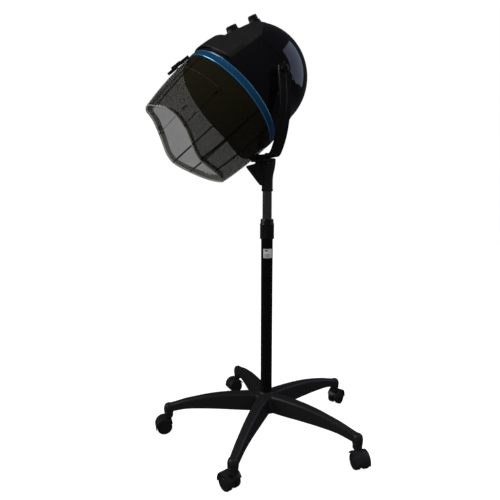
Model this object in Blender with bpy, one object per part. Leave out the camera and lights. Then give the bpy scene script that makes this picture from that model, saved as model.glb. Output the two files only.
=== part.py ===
"""Rolling hood hair dryer: a five-star base on twin-wheel casters, a telescopic
column, and a tilting drying hood with a see-through visor.

Units are metres, +Z is up and the floor is z = 0. The hood opens towards -Y and
everything except the star base and the controls is symmetric about the plane
x = COLUMN_X. The hood is a body of revolution about its own axis, so its pieces
are given as (radius, w), with w measured along that axis out of the opening.
"""

import math

import bmesh
import bpy
from mathutils import Matrix, Vector

# ---------------------------------------------------------------- sizes
COLUMN_X = 0.0077          # column axis, from the centre of the footprint
COLUMN_Y = -0.0008

WHEEL_R = 0.0215           # caster wheel radius
WHEEL_WIDTH = 0.0140
WEB_HALF = 0.0045          # half thickness of the caster's middle web
WHEEL_NEAR = WEB_HALF + 0.0008
WHEEL_FAR = WHEEL_NEAR + WHEEL_WIDTH
TRAIL = 0.0140             # wheel axle behind the swivel axis
GUARD_IN = WHEEL_R + 0.0014          # caster mudguard, inside radius
GUARD_OUT = WHEEL_R + 0.0034
BOSS_TOP = 0.0552          # top of the swivel boss
STEM_R = 0.0055

STAR_R = 0.280             # column axis to caster stem
FIRST_ARM_DEG = 246.2      # direction of the first arm, from +X
CASTER_DEG = (262.0, 196.0, 350.0, 120.0, 275.0)   # direction each caster trails
SOCKET_BOTTOM = 0.0580     # mouth of the caster socket
HUB_R = 0.036
HUB_BOTTOM = 0.070
HUB_TOP = 0.1215

TUBE_R = 0.0160            # outer column tube
TUBE_WALL = 0.0015
TUBE_FOOT = 0.0820
TUBE_TOP = 0.5800
INNER_R = 0.0125           # telescopic tube
INNER_WALL = 0.00125
INNER_FOOT = 0.1900
INNER_TOP = TUBE_TOP + 0.1940     # the mast nearly down
COLLAR_BOTTOM = TUBE_TOP - 0.0180
COLLAR_TOP = TUBE_TOP + 0.0360
COLLAR_R = TUBE_R + 0.0033

NECK_BOTTOM = INNER_TOP - 0.0835
NECK_TOP = INNER_TOP + 0.0025
TILT_Y = -0.0370           # tilt axis, from the column axis ...
TILT_RISE = 0.1955         # ... and above the neck
TILT_Z = NECK_TOP + TILT_RISE
ARM_X = 0.1560             # middle of the fork arm at the tilt axis
ARM_THICK = 0.0080
PLATE_THICK = 0.0085       # the neck's plate, under the fork

DOME_Y = TILT_Y + 0.0011   # centre of the dome, from the column axis
DOME_Z = TILT_Z + 0.0049
HOOD_TILT_DEG = 42.0       # hood axis below the horizontal
DOME_R = 0.1327
SHELL_WALL = 0.0025
SHELL_FLARE = 0.0110       # the middle shell widens this much ...
SHELL_FLARE_W = 0.0900     # ... by this w
SEAM_W = -0.0200           # joint between dome and middle shell
RING_W0 = 0.0840           # trim ring, dome side
RING_W1 = 0.1024           # trim ring, visor side
RING_R = 0.1442
FRONT_INSET = 0.0065       # black front shell, inside the visor
VISOR_R = 0.1437           # at the ring ...
VISOR_TAPER = 0.58         # ... less this times the square of the distance from it
VISOR_W = 0.0930
VISOR_WALL = 0.0020
RING_BORE = VISOR_R - FRONT_INSET + 0.0004
BOWL_W = 0.1500            # rim of the inner bowl
FLAP_HALF_DEG = 67.0       # the flap spans this much each side of the front
FLAP_W = 0.1445            # top edge of the flap
PANEL_HALF_DEG = 53.0      # the control housing spans this much each side
PANEL_SLOPE = 0.2660       # fall of the control panel per unit of w
PANEL_U = 0.1310           # height of the panel above the hood axis ...
PANEL_W = 0.0216           # ... at this w
TIMER_W = -0.0268
TEMPERATURE_W = -0.0892
LAMP_W = -0.0572

GAP = 0.0003
SHELL_STEPS = 36           # facets round the hood
TURNED_STEPS = 24          # facets round the column pieces

# ---------------------------------------------------------------- frames
COLUMN = Vector((COLUMN_X, COLUMN_Y, 0.0))
TILT = math.radians(HOOD_TILT_DEG)
HOOD_ORIGIN = COLUMN + Vector((0.0, DOME_Y, DOME_Z))
HOOD_AXIS = Vector((0.0, -math.cos(TILT), -math.sin(TILT)))
HOOD_UP = Vector((0.0, -math.sin(TILT), math.cos(TILT)))
SIDE = Vector((1.0, 0.0, 0.0))
UP = Vector((0.0, 0.0, 1.0))
TILT_POINT = COLUMN + Vector((0.0, TILT_Y, TILT_Z))


def frame(origin, first, second, third):
    """Matrix that turns local (a, b, c) into origin + a*first + b*second + c*third."""
    rows = [[first[i], second[i], third[i], origin[i]] for i in range(3)]
    return Matrix(rows + [[0.0, 0.0, 0.0, 1.0]])


HOOD = frame(HOOD_ORIGIN, HOOD_UP, SIDE, HOOD_AXIS)          # local (u, x, w)
UPRIGHT = frame(COLUMN, SIDE, Vector((0.0, 1.0, 0.0)), UP)   # local (x, y, z)
PANEL_N = (HOOD_UP - PANEL_SLOPE * HOOD_AXIS).normalized()
PANEL_T = (HOOD_AXIS + PANEL_SLOPE * HOOD_UP).normalized()

# ---------------------------------------------------------------- scene
for old in list(bpy.data.objects):
    bpy.data.objects.remove(old)
PARTS = bpy.data.collections.new("hood_hair_dryer")
CUTTERS = bpy.data.collections.new("cutters")
bpy.context.scene.collection.children.link(PARTS)
bpy.context.scene.collection.children.link(CUTTERS)
FINISHES = {
    "black_nylon": ((0.020, 0.020, 0.021), 0.0, 0.55),
    "black_gloss": ((0.012, 0.012, 0.013), 0.0, 0.12),
    "black_satin": ((0.018, 0.018, 0.019), 0.0, 0.35),
    "black_enamel": ((0.015, 0.015, 0.016), 0.0, 0.25),
    "caster_tread": ((0.030, 0.030, 0.031), 0.0, 0.70),
    "chrome": ((0.60, 0.60, 0.61), 1.0, 0.15),
    "steel": ((0.45, 0.45, 0.46), 1.0, 0.35),
    "blue_trim": ((0.03, 0.22, 0.42), 0.6, 0.20),
    "smoke_acrylic": ((0.16, 0.15, 0.12), 0.0, 0.08),
    "mica": ((0.55, 0.47, 0.33), 0.0, 0.60),
    "nichrome": ((0.40, 0.36, 0.32), 1.0, 0.40),
    "red_lens": ((0.45, 0.02, 0.02), 0.0, 0.20),
}


def material(name):
    """The finish's material, made once."""
    found = bpy.data.materials.get(name)
    if found:
        return found
    colour, metallic, roughness = FINISHES[name]
    made = bpy.data.materials.new(name)
    made.use_nodes = True
    shader = made.node_tree.nodes["Principled BSDF"]
    shader.inputs["Base Color"].default_value = (*colour, 1.0)
    shader.inputs["Metallic"].default_value = metallic
    shader.inputs["Roughness"].default_value = roughness
    made.diffuse_color = (*colour, 1.0)
    return made


def finish(name, bm, finish_name, pivot=None):
    """Store a bmesh (world coordinates) as a part whose origin is its pivot."""
    pivot = Vector(pivot) if pivot is not None else COLUMN
    bmesh.ops.remove_doubles(bm, verts=bm.verts, dist=1e-6)
    bmesh.ops.recalc_face_normals(bm, faces=bm.faces)
    bmesh.ops.translate(bm, verts=bm.verts, vec=-pivot)
    mesh = bpy.data.meshes.new(name)
    bm.to_mesh(mesh)
    bm.free()
    obj = bpy.data.objects.new(name, mesh)
    obj.location = pivot
    obj.data.materials.append(material(finish_name))
    PARTS.objects.link(obj)
    return obj


def cutter(name, bm):
    """Store a bmesh as a helper that only Booleans use."""
    obj = finish(name, bm, "steel", (0.0, 0.0, 0.0))
    PARTS.objects.unlink(obj)
    CUTTERS.objects.link(obj)
    obj.hide_render = True
    obj.display_type = "WIRE"
    return obj


def boolean(obj, other, operation="DIFFERENCE"):
    """Combine obj with a helper, exactly."""
    modifier = obj.modifiers.new(other.name, "BOOLEAN")
    modifier.operation = operation
    modifier.solver = "EXACT"
    modifier.object = other


# ---------------------------------------------------------------- shapes
def lathe(bm, space, profile, steps=32, turn=0.0):
    """Turn a closed (radius, height) outline about the third axis of space."""
    rings = []
    for radius, height in profile:
        if radius == 0.0:
            rings.append([bm.verts.new(space @ Vector((0.0, 0.0, height)))])
            continue
        ring = []
        for i in range(steps):
            angle = turn + 2.0 * math.pi * i / steps
            ring.append(bm.verts.new(space @ Vector(
                (radius * math.cos(angle), radius * math.sin(angle), height))))
        rings.append(ring)
    for a, b in zip(rings, rings[1:] + rings[:1]):
        if len(a) == 1 and len(b) == 1:
            continue
        for i in range(steps):
            j = (i + 1) % steps
            if len(a) == 1:
                bm.faces.new((a[0], b[i], b[j]))
            elif len(b) == 1:
                bm.faces.new((a[i], a[j], b[0]))
            else:
                bm.faces.new((a[i], a[j], b[j], b[i]))
    return bm


def rod(bm, space, radius, low, high, steps=24):
    """A plain cylinder along the third axis of space."""
    return lathe(bm, space, [(0.0, low), (radius, low), (radius, high), (0.0, high)], steps)


def pipe(bm, space, outer, inner, low, high, steps=32):
    """A plain tube along the third axis of space."""
    outline = [(inner, low), (outer, low), (outer, high), (inner, high)]
    return lathe(bm, space, outline, steps)


def block(bm, space, low, high):
    """A box between two local corners."""
    corners = [Vector((x, y, z)) for x in (low[0], high[0])
               for y in (low[1], high[1]) for z in (low[2], high[2])]
    verts = [bm.verts.new(space @ c) for c in corners]
    for face in ((0, 1, 3, 2), (4, 6, 7, 5), (0, 4, 5, 1), (2, 3, 7, 6), (0, 2, 6, 4), (1, 5, 7, 3)):
        bm.faces.new([verts[i] for i in face])
    return bm


def prism(bm, space, outline, low, high):
    """Extrude a local (a, b) outline along the third axis of space."""
    ends = [[bm.verts.new(space @ Vector((a, b, c))) for a, b in outline] for c in (low, high)]
    bm.faces.new(ends[0])
    bm.faces.new(ends[1])
    count = len(outline)
    for i in range(count):
        j = (i + 1) % count
        bm.faces.new((ends[0][i], ends[0][j], ends[1][j], ends[1][i]))
    return bm


def loft(bm, sections):
    """Join closed sections of equal length, capped at both ends."""
    rings = [[bm.verts.new(p) for p in section] for section in sections]
    count = len(rings[0])
    for a, b in zip(rings, rings[1:]):
        for i in range(count):
            j = (i + 1) % count
            bm.faces.new((a[i], a[j], b[j], b[i]))
    bm.faces.new(rings[0])
    bm.faces.new(rings[-1])
    return bm


def sector(bm, section_at, start_deg, end_deg, steps):
    """Sweep a (radius, w) outline that may change with angle part-way round the hood."""
    sections = []
    for i in range(steps + 1):
        degrees = start_deg + (end_deg - start_deg) * i / steps
        angle = math.radians(degrees)
        sections.append([HOOD @ Vector((r * math.cos(angle), r * math.sin(angle), w))
                         for r, w in section_at(degrees)])
    return loft(bm, sections)


def around(bm, section_at, steps):
    """Sweep a (radius, w) outline that may change with angle all round the hood."""
    rings = []
    for i in range(steps):
        degrees = 360.0 * i / steps
        angle = math.radians(degrees)
        rings.append([bm.verts.new(HOOD @ Vector((r * math.cos(angle), r * math.sin(angle), w)))
                      for r, w in section_at(degrees)])
    count = len(rings[0])
    for a, b in zip(rings, rings[1:] + rings[:1]):
        for i in range(count):
            j = (i + 1) % count
            bm.faces.new((a[i], a[j], b[j], b[i]))
    return bm


def between(x, table):
    """Straight-line interpolation in a table of (x, y) pairs."""
    if x <= table[0][0]:
        return table[0][1]
    for (x0, y0), (x1, y1) in zip(table, table[1:]):
        if x <= x1:
            return y0 + (y1 - y0) * (x - x0) / (x1 - x0)
    return table[-1][1]


# ---------------------------------------------------------------- star base
# Arm stations: distance from the column, under side, top side, half width.
ARM = (
    (0.020, 0.0720, 0.1200, 0.0190),
    (0.060, 0.0725, 0.1205, 0.0175),
    (0.122, 0.0745, 0.1180, 0.0155),
    (0.175, 0.0755, 0.1115, 0.0140),
    (STAR_R - 0.052, 0.0740, 0.1005, 0.0130),
    (STAR_R - 0.025, 0.0690, 0.0920, 0.0125),
    (STAR_R - 0.001, 0.0630, 0.0850, 0.0115),
)


def arm_section(space, reach, low, high, half):
    """Rounded-top box section of a star arm."""
    edge = min(0.006, half * 0.5)
    outline = [(-half, low), (half, low), (half, high - edge), (half - 0.3 * edge, high - 0.3 * edge),
               (half - edge, high), (edge - half, high), (0.3 * edge - half, high - 0.3 * edge),
               (-half, high - edge)]
    return [space @ Vector((reach, y, z)) for y, z in outline]


def arm_space(index):
    """Local (reach, across, up) space of one star arm."""
    angle = math.radians(FIRST_ARM_DEG + 72.0 * index)
    out = Vector((math.cos(angle), math.sin(angle), 0.0))
    return frame(COLUMN, out, UP.cross(out), UP)


def star_base():
    bm = bmesh.new()
    lathe(bm, UPRIGHT, [
        (0.0, HUB_BOTTOM), (HUB_R, HUB_BOTTOM),
        (HUB_R, HUB_TOP - 0.008), (HUB_R - 0.005, HUB_TOP - 0.001), (TUBE_R + 0.0040, HUB_TOP),
        (TUBE_R + 0.0030, HUB_TOP + 0.0035), (TUBE_R + GAP, TUBE_FOOT - GAP),
        (0.0060, TUBE_FOOT - GAP), (0.0, TUBE_FOOT - GAP)], 30)
    base = finish("star_base", bm, "black_nylon")
    for index in range(5):
        space = arm_space(index)
        arm = loft(bmesh.new(), [arm_section(space, *station) for station in ARM])
        # The column passes through the hub, so the arm starts outside its socket.
        boolean(base, cutter(f"arm_{index}", arm), "UNION")
        at = frame(space @ Vector((STAR_R, 0.0, 0.0)), SIDE, UP.cross(SIDE), UP)
        knuckle = lathe(bmesh.new(), at, [
            (0.0, SOCKET_BOTTOM), (0.0130, SOCKET_BOTTOM), (0.0142, 0.0740), (0.0126, 0.0825),
            (0.0070, 0.0882), (0.0, 0.0893)], 16)
        boolean(base, cutter(f"knuckle_{index}", knuckle), "UNION")
    for index in range(5):
        space = arm_space(index)
        at = frame(space @ Vector((STAR_R, 0.0, 0.0)), SIDE, UP.cross(SIDE), UP)
        bore = rod(bmesh.new(), at, STEM_R + 0.0002, SOCKET_BOTTOM - 0.004, 0.0815, 12)
        boolean(base, cutter(f"bore_{index}", bore))
        hollow = loft(bmesh.new(), [
            [space @ Vector((reach, y, z)) for y, z in
             ((-half + 0.0035, low - 0.004), (half - 0.0035, low - 0.004),
              (half - 0.0055, high - 0.010), (-half + 0.0055, high - 0.010))]
            for reach, low, high, half in ((0.046, 0.0725, 0.1200, 0.0178),) + ARM[2:5]])
        boolean(base, cutter(f"hollow_{index}", hollow))
    socket = rod(bmesh.new(), UPRIGHT, TUBE_R + GAP, TUBE_FOOT - GAP, HUB_TOP + 0.006, TURNED_STEPS)
    boolean(base, cutter("hub_socket", socket))
    clearance = rod(bmesh.new(), UPRIGHT, 0.0053, HUB_BOTTOM - 0.004, TUBE_FOOT + 0.002, 20)
    boolean(base, cutter("hub_bolt_hole", clearance))


def hub_bolt():
    bm = lathe(bmesh.new(), UPRIGHT, [
        (0.0, 0.0625), (0.0090, 0.0625), (0.0095, 0.0635), (0.0095, HUB_BOTTOM - GAP),
        (0.0050, HUB_BOTTOM - GAP), (0.0050, 0.1120), (TUBE_R - TUBE_WALL - 0.0005, 0.1123),
        (TUBE_R - TUBE_WALL - 0.0005, 0.1180),
        (0.0, 0.1180)], 20)
    finish("hub_bolt", bm, "steel")


# ---------------------------------------------------------------- casters
def casters():
    for index in range(5):
        angle = math.radians(FIRST_ARM_DEG + 72.0 * index)
        swivel = COLUMN + STAR_R * Vector((math.cos(angle), math.sin(angle), 0.0))
        trail = math.radians(CASTER_DEG[index])
        back = Vector((math.cos(trail), math.sin(trail), 0.0))
        across = UP.cross(back)
        upright = frame(swivel, back, across, UP)
        axle_point = swivel + TRAIL * back + WHEEL_R * UP
        flat = frame(axle_point, back, UP, across)           # local (back, up, across)
        number = index + 1

        stem = lathe(bmesh.new(), upright, [
            (0.0, 0.0350), (0.0030, 0.0350), (0.0030, BOSS_TOP + GAP), (0.0080, BOSS_TOP + GAP),
            (0.0080, SOCKET_BOTTOM - GAP), (STEM_R, SOCKET_BOTTOM - GAP), (STEM_R, 0.0803),
            (0.0, 0.0803)], 12)
        finish(f"caster_{number}_stem", stem, "steel", swivel)

        guard = []
        for degrees in range(-12, 157, 14):
            guard.append((GUARD_OUT * math.cos(math.radians(degrees)),
                          GUARD_OUT * math.sin(math.radians(degrees))))
        for degrees in range(156, -13, -14):
            guard.append((GUARD_IN * math.cos(math.radians(degrees)),
                          GUARD_IN * math.sin(math.radians(degrees))))
        housing = finish(f"caster_{number}_housing",
                         prism(bmesh.new(), flat, guard, -WHEEL_FAR - 0.0007, WHEEL_FAR + 0.0007), "black_nylon", swivel)
        web = []
        for degrees in range(-18, 342, 18):
            radius = 0.0240 if -12 <= degrees <= 156 else 0.0172
            web.append((radius * math.cos(math.radians(degrees)),
                        radius * math.sin(math.radians(degrees))))
        web_mesh = prism(bmesh.new(), flat, web, -WEB_HALF, WEB_HALF)
        boolean(housing, cutter(f"web_{number}", web_mesh), "UNION")
        boss = lathe(bmesh.new(), upright, [
            (0.0, 0.0438), (0.0098, 0.0438), (0.0105, 0.0470), (0.0095, BOSS_TOP), (0.0, BOSS_TOP)], 14)
        boolean(housing, cutter(f"boss_{number}", boss), "UNION")
        hole = rod(bmesh.new(), upright, 0.0031, 0.0345, BOSS_TOP + 0.002, 12)
        boolean(housing, cutter(f"stem_hole_{number}", hole))
        axle_hole = rod(bmesh.new(), flat, 0.00305, -0.008, 0.008, 12)
        boolean(housing, cutter(f"axle_hole_{number}", axle_hole))

        pin = WHEEL_FAR - 0.0013
        finish(f"caster_{number}_axle", rod(bmesh.new(), flat, 0.0030, -pin, pin, 12),
               "steel", axle_point)
        for side, sign in (("left", 1.0), ("right", -1.0)):
            bore = WHEEL_FAR - 0.0010
            outline = [(0.0032, WHEEL_NEAR), (WHEEL_R, WHEEL_NEAR), (WHEEL_R, WHEEL_FAR - 0.0025),
                       (WHEEL_R - 0.0020, WHEEL_FAR), (0.0, WHEEL_FAR), (0.0, bore), (0.0032, bore)]
            wheel = lathe(bmesh.new(), flat, [(r, sign * w) for r, w in outline], 18)
            finish(f"caster_{number}_wheel_{side}", wheel, "caster_tread", axle_point)


# ---------------------------------------------------------------- column
def column():
    finish("outer_tube", pipe(bmesh.new(), UPRIGHT, TUBE_R, TUBE_R - TUBE_WALL, TUBE_FOOT, TUBE_TOP, TURNED_STEPS),
           "black_enamel")
    inner = INNER_R + 0.00012
    collet = lathe(bmesh.new(), UPRIGHT, [
        (inner, TUBE_TOP - 0.0120), (TUBE_R - TUBE_WALL - 0.0001, TUBE_TOP - 0.0120), (TUBE_R - TUBE_WALL - 0.0001, TUBE_TOP + GAP),
        (TUBE_R + 0.0005, TUBE_TOP + GAP), (TUBE_R + 0.0005, TUBE_TOP + 0.0130),
        (INNER_R + 0.0020, TUBE_TOP + 0.0280), (inner, TUBE_TOP + 0.0280)], TURNED_STEPS)
    finish("collet", collet, "black_nylon")
    collar = lathe(bmesh.new(), UPRIGHT, [
        (TUBE_R + 0.0003, COLLAR_BOTTOM), (COLLAR_R, COLLAR_BOTTOM), (COLLAR_R, COLLAR_TOP - 0.0120),
        (COLLAR_R - 0.0017, COLLAR_TOP - 0.0105), (COLLAR_R - 0.0017, COLLAR_TOP), (inner + 0.0003, COLLAR_TOP),
        (inner + 0.0003, COLLAR_TOP - 0.0045), (INNER_R + 0.0025, COLLAR_TOP - 0.0050),
        (TUBE_R + 0.0009, TUBE_TOP + 0.0135), (TUBE_R + 0.0009, TUBE_TOP), (TUBE_R + 0.0003, TUBE_TOP)], TURNED_STEPS)
    finish("lock_collar", collar, "black_satin")
    finish("inner_tube", pipe(bmesh.new(), UPRIGHT, INNER_R, INNER_R - INNER_WALL, INNER_FOOT, INNER_TOP, TURNED_STEPS),
           "chrome")
    bush = lathe(bmesh.new(), UPRIGHT, [
        (0.0080, INNER_FOOT - 0.0040), (TUBE_R - TUBE_WALL - 0.0002, INNER_FOOT - 0.0040),
        (TUBE_R - TUBE_WALL - 0.0002, INNER_FOOT - GAP),
        (INNER_R - INNER_WALL - 0.0002, INNER_FOOT - GAP), (INNER_R - INNER_WALL - 0.0002, INNER_FOOT + 0.018),
        (0.0080, INNER_FOOT + 0.018)], TURNED_STEPS)
    finish("guide_bush", bush, "black_nylon")


# ---------------------------------------------------------------- neck and fork
def neck_socket():
    bm = lathe(bmesh.new(), UPRIGHT, [
        (INNER_R + 0.00015, NECK_BOTTOM), (INNER_R + 0.0023, NECK_BOTTOM), (INNER_R + 0.0027, NECK_BOTTOM + 0.001),
        (INNER_R + 0.0027, NECK_TOP - 0.0465), (0.0190, NECK_TOP - 0.0315), (0.0215, NECK_TOP - 0.0165),
        (0.0222, NECK_TOP - 0.001),
        (0.0212, NECK_TOP), (0.0, NECK_TOP), (0.0, INNER_TOP + GAP),
        (INNER_R + 0.00015, INNER_TOP + GAP)], TURNED_STEPS)
    neck = finish("neck_socket", bm, "black_nylon")
    # local (forward, up from the neck's top, x)
    side = frame(COLUMN + NECK_TOP * UP, Vector((0.0, -1.0, 0.0)), UP, SIDE)
    rib = prism(bmesh.new(), side, [(0.0140, -0.0695), (0.0190, -0.0705), (0.0600, -0.0230), (0.0600, -0.0193),
                                    (0.0180, -PLATE_THICK), (0.0140, -PLATE_THICK)], -0.0045, 0.0045)
    boolean(neck, cutter("neck_rib", rib), "UNION")
    for name, sign in (("left", -1.0), ("right", 1.0)):
        pocket = prism(bmesh.new(), side, [(0.0235, -0.0535), (0.0265, -0.0540), (0.0460, -0.0295),
                                           (0.0440, -0.0225), (0.0235, -0.0165)], sign * 0.0015, sign * 0.0090)
        boolean(neck, cutter(f"neck_pocket_{name}", pocket))
    plate = block(bmesh.new(), UPRIGHT, (-0.0420, -0.0300, NECK_TOP - PLATE_THICK), (0.0420, 0.0020, NECK_TOP))
    boolean(neck, cutter("neck_plate", plate), "UNION")
    bore = rod(bmesh.new(), UPRIGHT, INNER_R + 0.00015, NECK_BOTTOM - 0.002, INNER_TOP + GAP, TURNED_STEPS)
    boolean(neck, cutter("neck_bore", bore))
    for name, x in (("left", -0.0300), ("right", 0.0300)):
        at = frame(COLUMN + Vector((x, -0.0160, NECK_TOP)), SIDE, UP.cross(SIDE), UP)
        boolean(neck, cutter(f"neck_hole_{name}", rod(bmesh.new(), at, 0.0034, -0.0165, 0.0035, 12)))


# Fork stations: sideways, up from the neck's top, forward middle, half width.
FORK = (
    (0.0010, 0.0061, -0.0150, 0.0140),
    (0.0600, 0.0061, -0.0170, 0.0150),
    (0.0860, 0.0097, -0.0215, 0.0150),
    (0.1060, 0.0195, -0.0260, 0.0145),
    (ARM_X - 0.0330, 0.0375, -0.0280, 0.0145),
    (ARM_X - 0.0190, 0.0615, -0.0290, 0.0145),
    (ARM_X - 0.0080, 0.0915, -0.0300, 0.0142),
    (ARM_X - 0.0015, 0.1235, -0.0310, 0.0140),
    (ARM_X, 0.1535, -0.0330, 0.0140),
    (ARM_X, TILT_RISE, TILT_Y, 0.0140),
    (ARM_X, TILT_RISE + 0.0090, TILT_Y, 0.0108),
    (ARM_X, TILT_RISE + 0.0140, TILT_Y, 0.0045),
)


def fork_arm(name, sign):
    """One curved arm of the fork, with a raised ridge down its outer face."""
    sections = []
    for i, (x, z, y, half) in enumerate(FORK):
        before, after = FORK[max(i - 1, 0)], FORK[min(i + 1, len(FORK) - 1)]
        along = Vector((after[0] - before[0], 0.0, after[1] - before[1])).normalized()
        normal = Vector((along.z, 0.0, -along.x))            # away from the hood
        t = ARM_THICK / 2.0
        section = []
        for across, out in ((-half, -t), (half, -t), (half, 0.4 * t), (half - 0.0025, t),
                            (0.20 * half, t), (0.10 * half, t + 0.0015), (-0.10 * half, t + 0.0015),
                            (-0.20 * half, t), (0.0025 - half, t), (-half, 0.4 * t)):
            point = Vector((x, y + across, NECK_TOP + z)) + out * normal
            section.append(COLUMN + Vector((sign * point.x, point.y, point.z)))
        sections.append(section)
    arm = finish(f"yoke_arm_{name}", loft(bmesh.new(), sections), "black_satin")
    across = frame(TILT_POINT, UP, Vector((0.0, -1.0, 0.0)), sign * SIDE)
    boolean(arm, cutter(f"arm_hole_{name}", rod(bmesh.new(), across, 0.0043, 0.140, 0.170, 20)))
    at = frame(COLUMN + Vector((sign * 0.0300, -0.0160, NECK_TOP)), SIDE, UP.cross(SIDE), UP)
    boolean(arm, cutter(f"arm_bolt_hole_{name}", rod(bmesh.new(), at, 0.0034, -0.0065, 0.0155, 12)))

    bolt = lathe(bmesh.new(), at, [
        (0.0, -0.0145), (0.0060, -0.0145), (0.0060, -PLATE_THICK - GAP), (0.0030, -PLATE_THICK - GAP),
        (0.0030, 0.0105), (0.0055, 0.0105), (0.0055, 0.0135), (0.0, 0.0135)], 12)
    finish(f"yoke_bolt_{name}", bolt, "steel")
    screw = lathe(bmesh.new(), across, [
        (0.0, 0.1220), (0.0040, 0.1220), (0.0040, 0.1370), (0.0090, 0.1372), (0.0090, 0.1510), (0.0040, 0.1512),
        (0.0040, 0.1617), (0.0085, 0.1620), (0.0098, 0.1630),
        (0.0094, 0.1660), (0.0060, 0.1678), (0.0, 0.1680)], 20)
    finish(f"pivot_screw_{name}", screw, "black_satin", TILT_POINT)


# ---------------------------------------------------------------- hood shells
def body_radius(w):
    """Outside radius of the dome and middle shell at w."""
    if w < 0.0:
        return math.sqrt(max(DOME_R * DOME_R - w * w, 0.0))
    rise = 1.0 - min(w / SHELL_FLARE_W, 1.0)
    return DOME_R + SHELL_FLARE * (1.0 - rise * rise)


def visor_radius(w):
    """Outside radius of the barrel-shaped visor at w."""
    return VISOR_R - VISOR_TAPER * max(w - VISOR_W, 0.0) ** 2


BOWL_R = visor_radius(BOWL_W) - FRONT_INSET - SHELL_WALL - 0.0010


def panel_edge(degrees):
    """Rear edge of the control housing."""
    return -0.1120 + 0.0850 * (degrees / PANEL_HALF_DEG) ** 2


def panel_height(w):
    """Height above the hood axis of the flattened top of the control housing."""
    if w <= PANEL_W:
        return PANEL_U - PANEL_SLOPE * (PANEL_W - w)
    return body_radius(w) + BLOCK_RISE


def panel_radius(degrees, w):
    if w > PANEL_W:
        return panel_height(w)
    flat = panel_height(w) / math.cos(math.radians(degrees))
    return min(body_radius(w) + 0.0012, flat)


BLOCK_RISE = 0.0045        # the raised block in front of the panel, above the shell
PANEL_FRONT = 0.0740


def housing_window():
    """Sector-shaped cutter for the opening the control housing sits in."""
    margin = 0.0006
    half = PANEL_HALF_DEG + 0.3
    radii = (0.055, 0.070, 0.085, 0.100, 0.115, 0.130, 0.155)
    return cutter("housing_window", sector(bmesh.new(), lambda d: [
        (r, panel_edge(d) - margin) for r in radii]
        + [(0.155, PANEL_FRONT + margin), (0.055, PANEL_FRONT + margin)], -half, half, 32))


def shells():
    window = housing_window()
    inner = DOME_R - SHELL_WALL
    outline = [(body_radius(w), w) for w in (RING_W0 - GAP, 0.060, 0.040, 0.020, 0.0, SEAM_W + 0.0002)]
    outline += [(r - SHELL_WALL, w) for r, w in reversed(outline)]
    middle = finish("mid_shell", lathe(bmesh.new(), HOOD, outline, SHELL_STEPS), "black_gloss", TILT_POINT)
    boolean(middle, window)
    for name, sign in (("left", -1.0), ("right", 1.0)):
        across = frame(TILT_POINT, UP, Vector((0.0, -1.0, 0.0)), sign * SIDE)
        boolean(middle, cutter(f"shell_hole_{name}", rod(bmesh.new(), across, 0.0043, 0.124, 0.150, 20)))

    dome = []
    for i in range(9):
        angle = math.asin(SEAM_W / DOME_R) - math.radians(85.5) * i / 8.0
        dome.append((DOME_R * math.cos(angle), DOME_R * math.sin(angle)))
    dome[0] = (body_radius(SEAM_W - 0.0002), SEAM_W - 0.0002)
    dome[-1] = (0.0, -DOME_R)
    hollow = [(r * inner / DOME_R, w * inner / DOME_R) for r, w in dome]
    hollow[0] = (hollow[0][0], SEAM_W - 0.0002)
    cap = finish("dome_cap", lathe(bmesh.new(), HOOD, dome + hollow[::-1], SHELL_STEPS), "black_gloss", TILT_POINT)
    boolean(cap, window)

    ring = lathe(bmesh.new(), HOOD, [
        (RING_BORE, RING_W0), (RING_R - 0.0010, RING_W0), (RING_R + 0.0002, 0.5 * (RING_W0 + RING_W1)),
        (RING_R - 0.0010, RING_W1), (RING_BORE, RING_W1)], SHELL_STEPS)
    finish("trim_ring", ring, "blue_trim", TILT_POINT)

    edge = ((0.0, 0.166), (33.0, 0.1776), (46.0, 0.1916), (65.0, 0.2045), (80.0, 0.2050),
            (94.0, 0.2037), (119.0, 0.2015), (142.0, 0.1935), (180.0, 0.1900))

    def front_outline(degrees):
        folded = min(degrees, 360.0 - degrees)
        end = between(folded, edge)
        stops = [0.0845 + (end - 0.0845) * i / 3.0 for i in range(4)]
        outer = [(visor_radius(w) - FRONT_INSET, w) for w in stops]
        return outer + [(r - SHELL_WALL, w) for r, w in reversed(outer)]

    front = finish("front_shell", around(bmesh.new(), front_outline, SHELL_STEPS), "black_satin", TILT_POINT)
    slots = bmesh.new()
    for sign in (-1.0, 1.0):
        for i in range(6):
            degrees = sign * (89.0 + 3.2 * i)
            angle = math.radians(degrees)
            radial = math.cos(angle) * HOOD_UP + math.sin(angle) * SIDE
            tangent = math.cos(angle) * SIDE - math.sin(angle) * HOOD_UP
            lean = (HOOD_AXIS + 0.35 * sign * tangent).normalized()
            at = frame(HOOD_ORIGIN + 0.1060 * HOOD_AXIS + 0.1370 * radial,
                       lean, radial.cross(lean), radial)
            block(slots, at, (-0.0110, -0.0014, -0.008), (0.0110, 0.0014, 0.008))
    boolean(front, cutter("vent_slots", slots))


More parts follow.
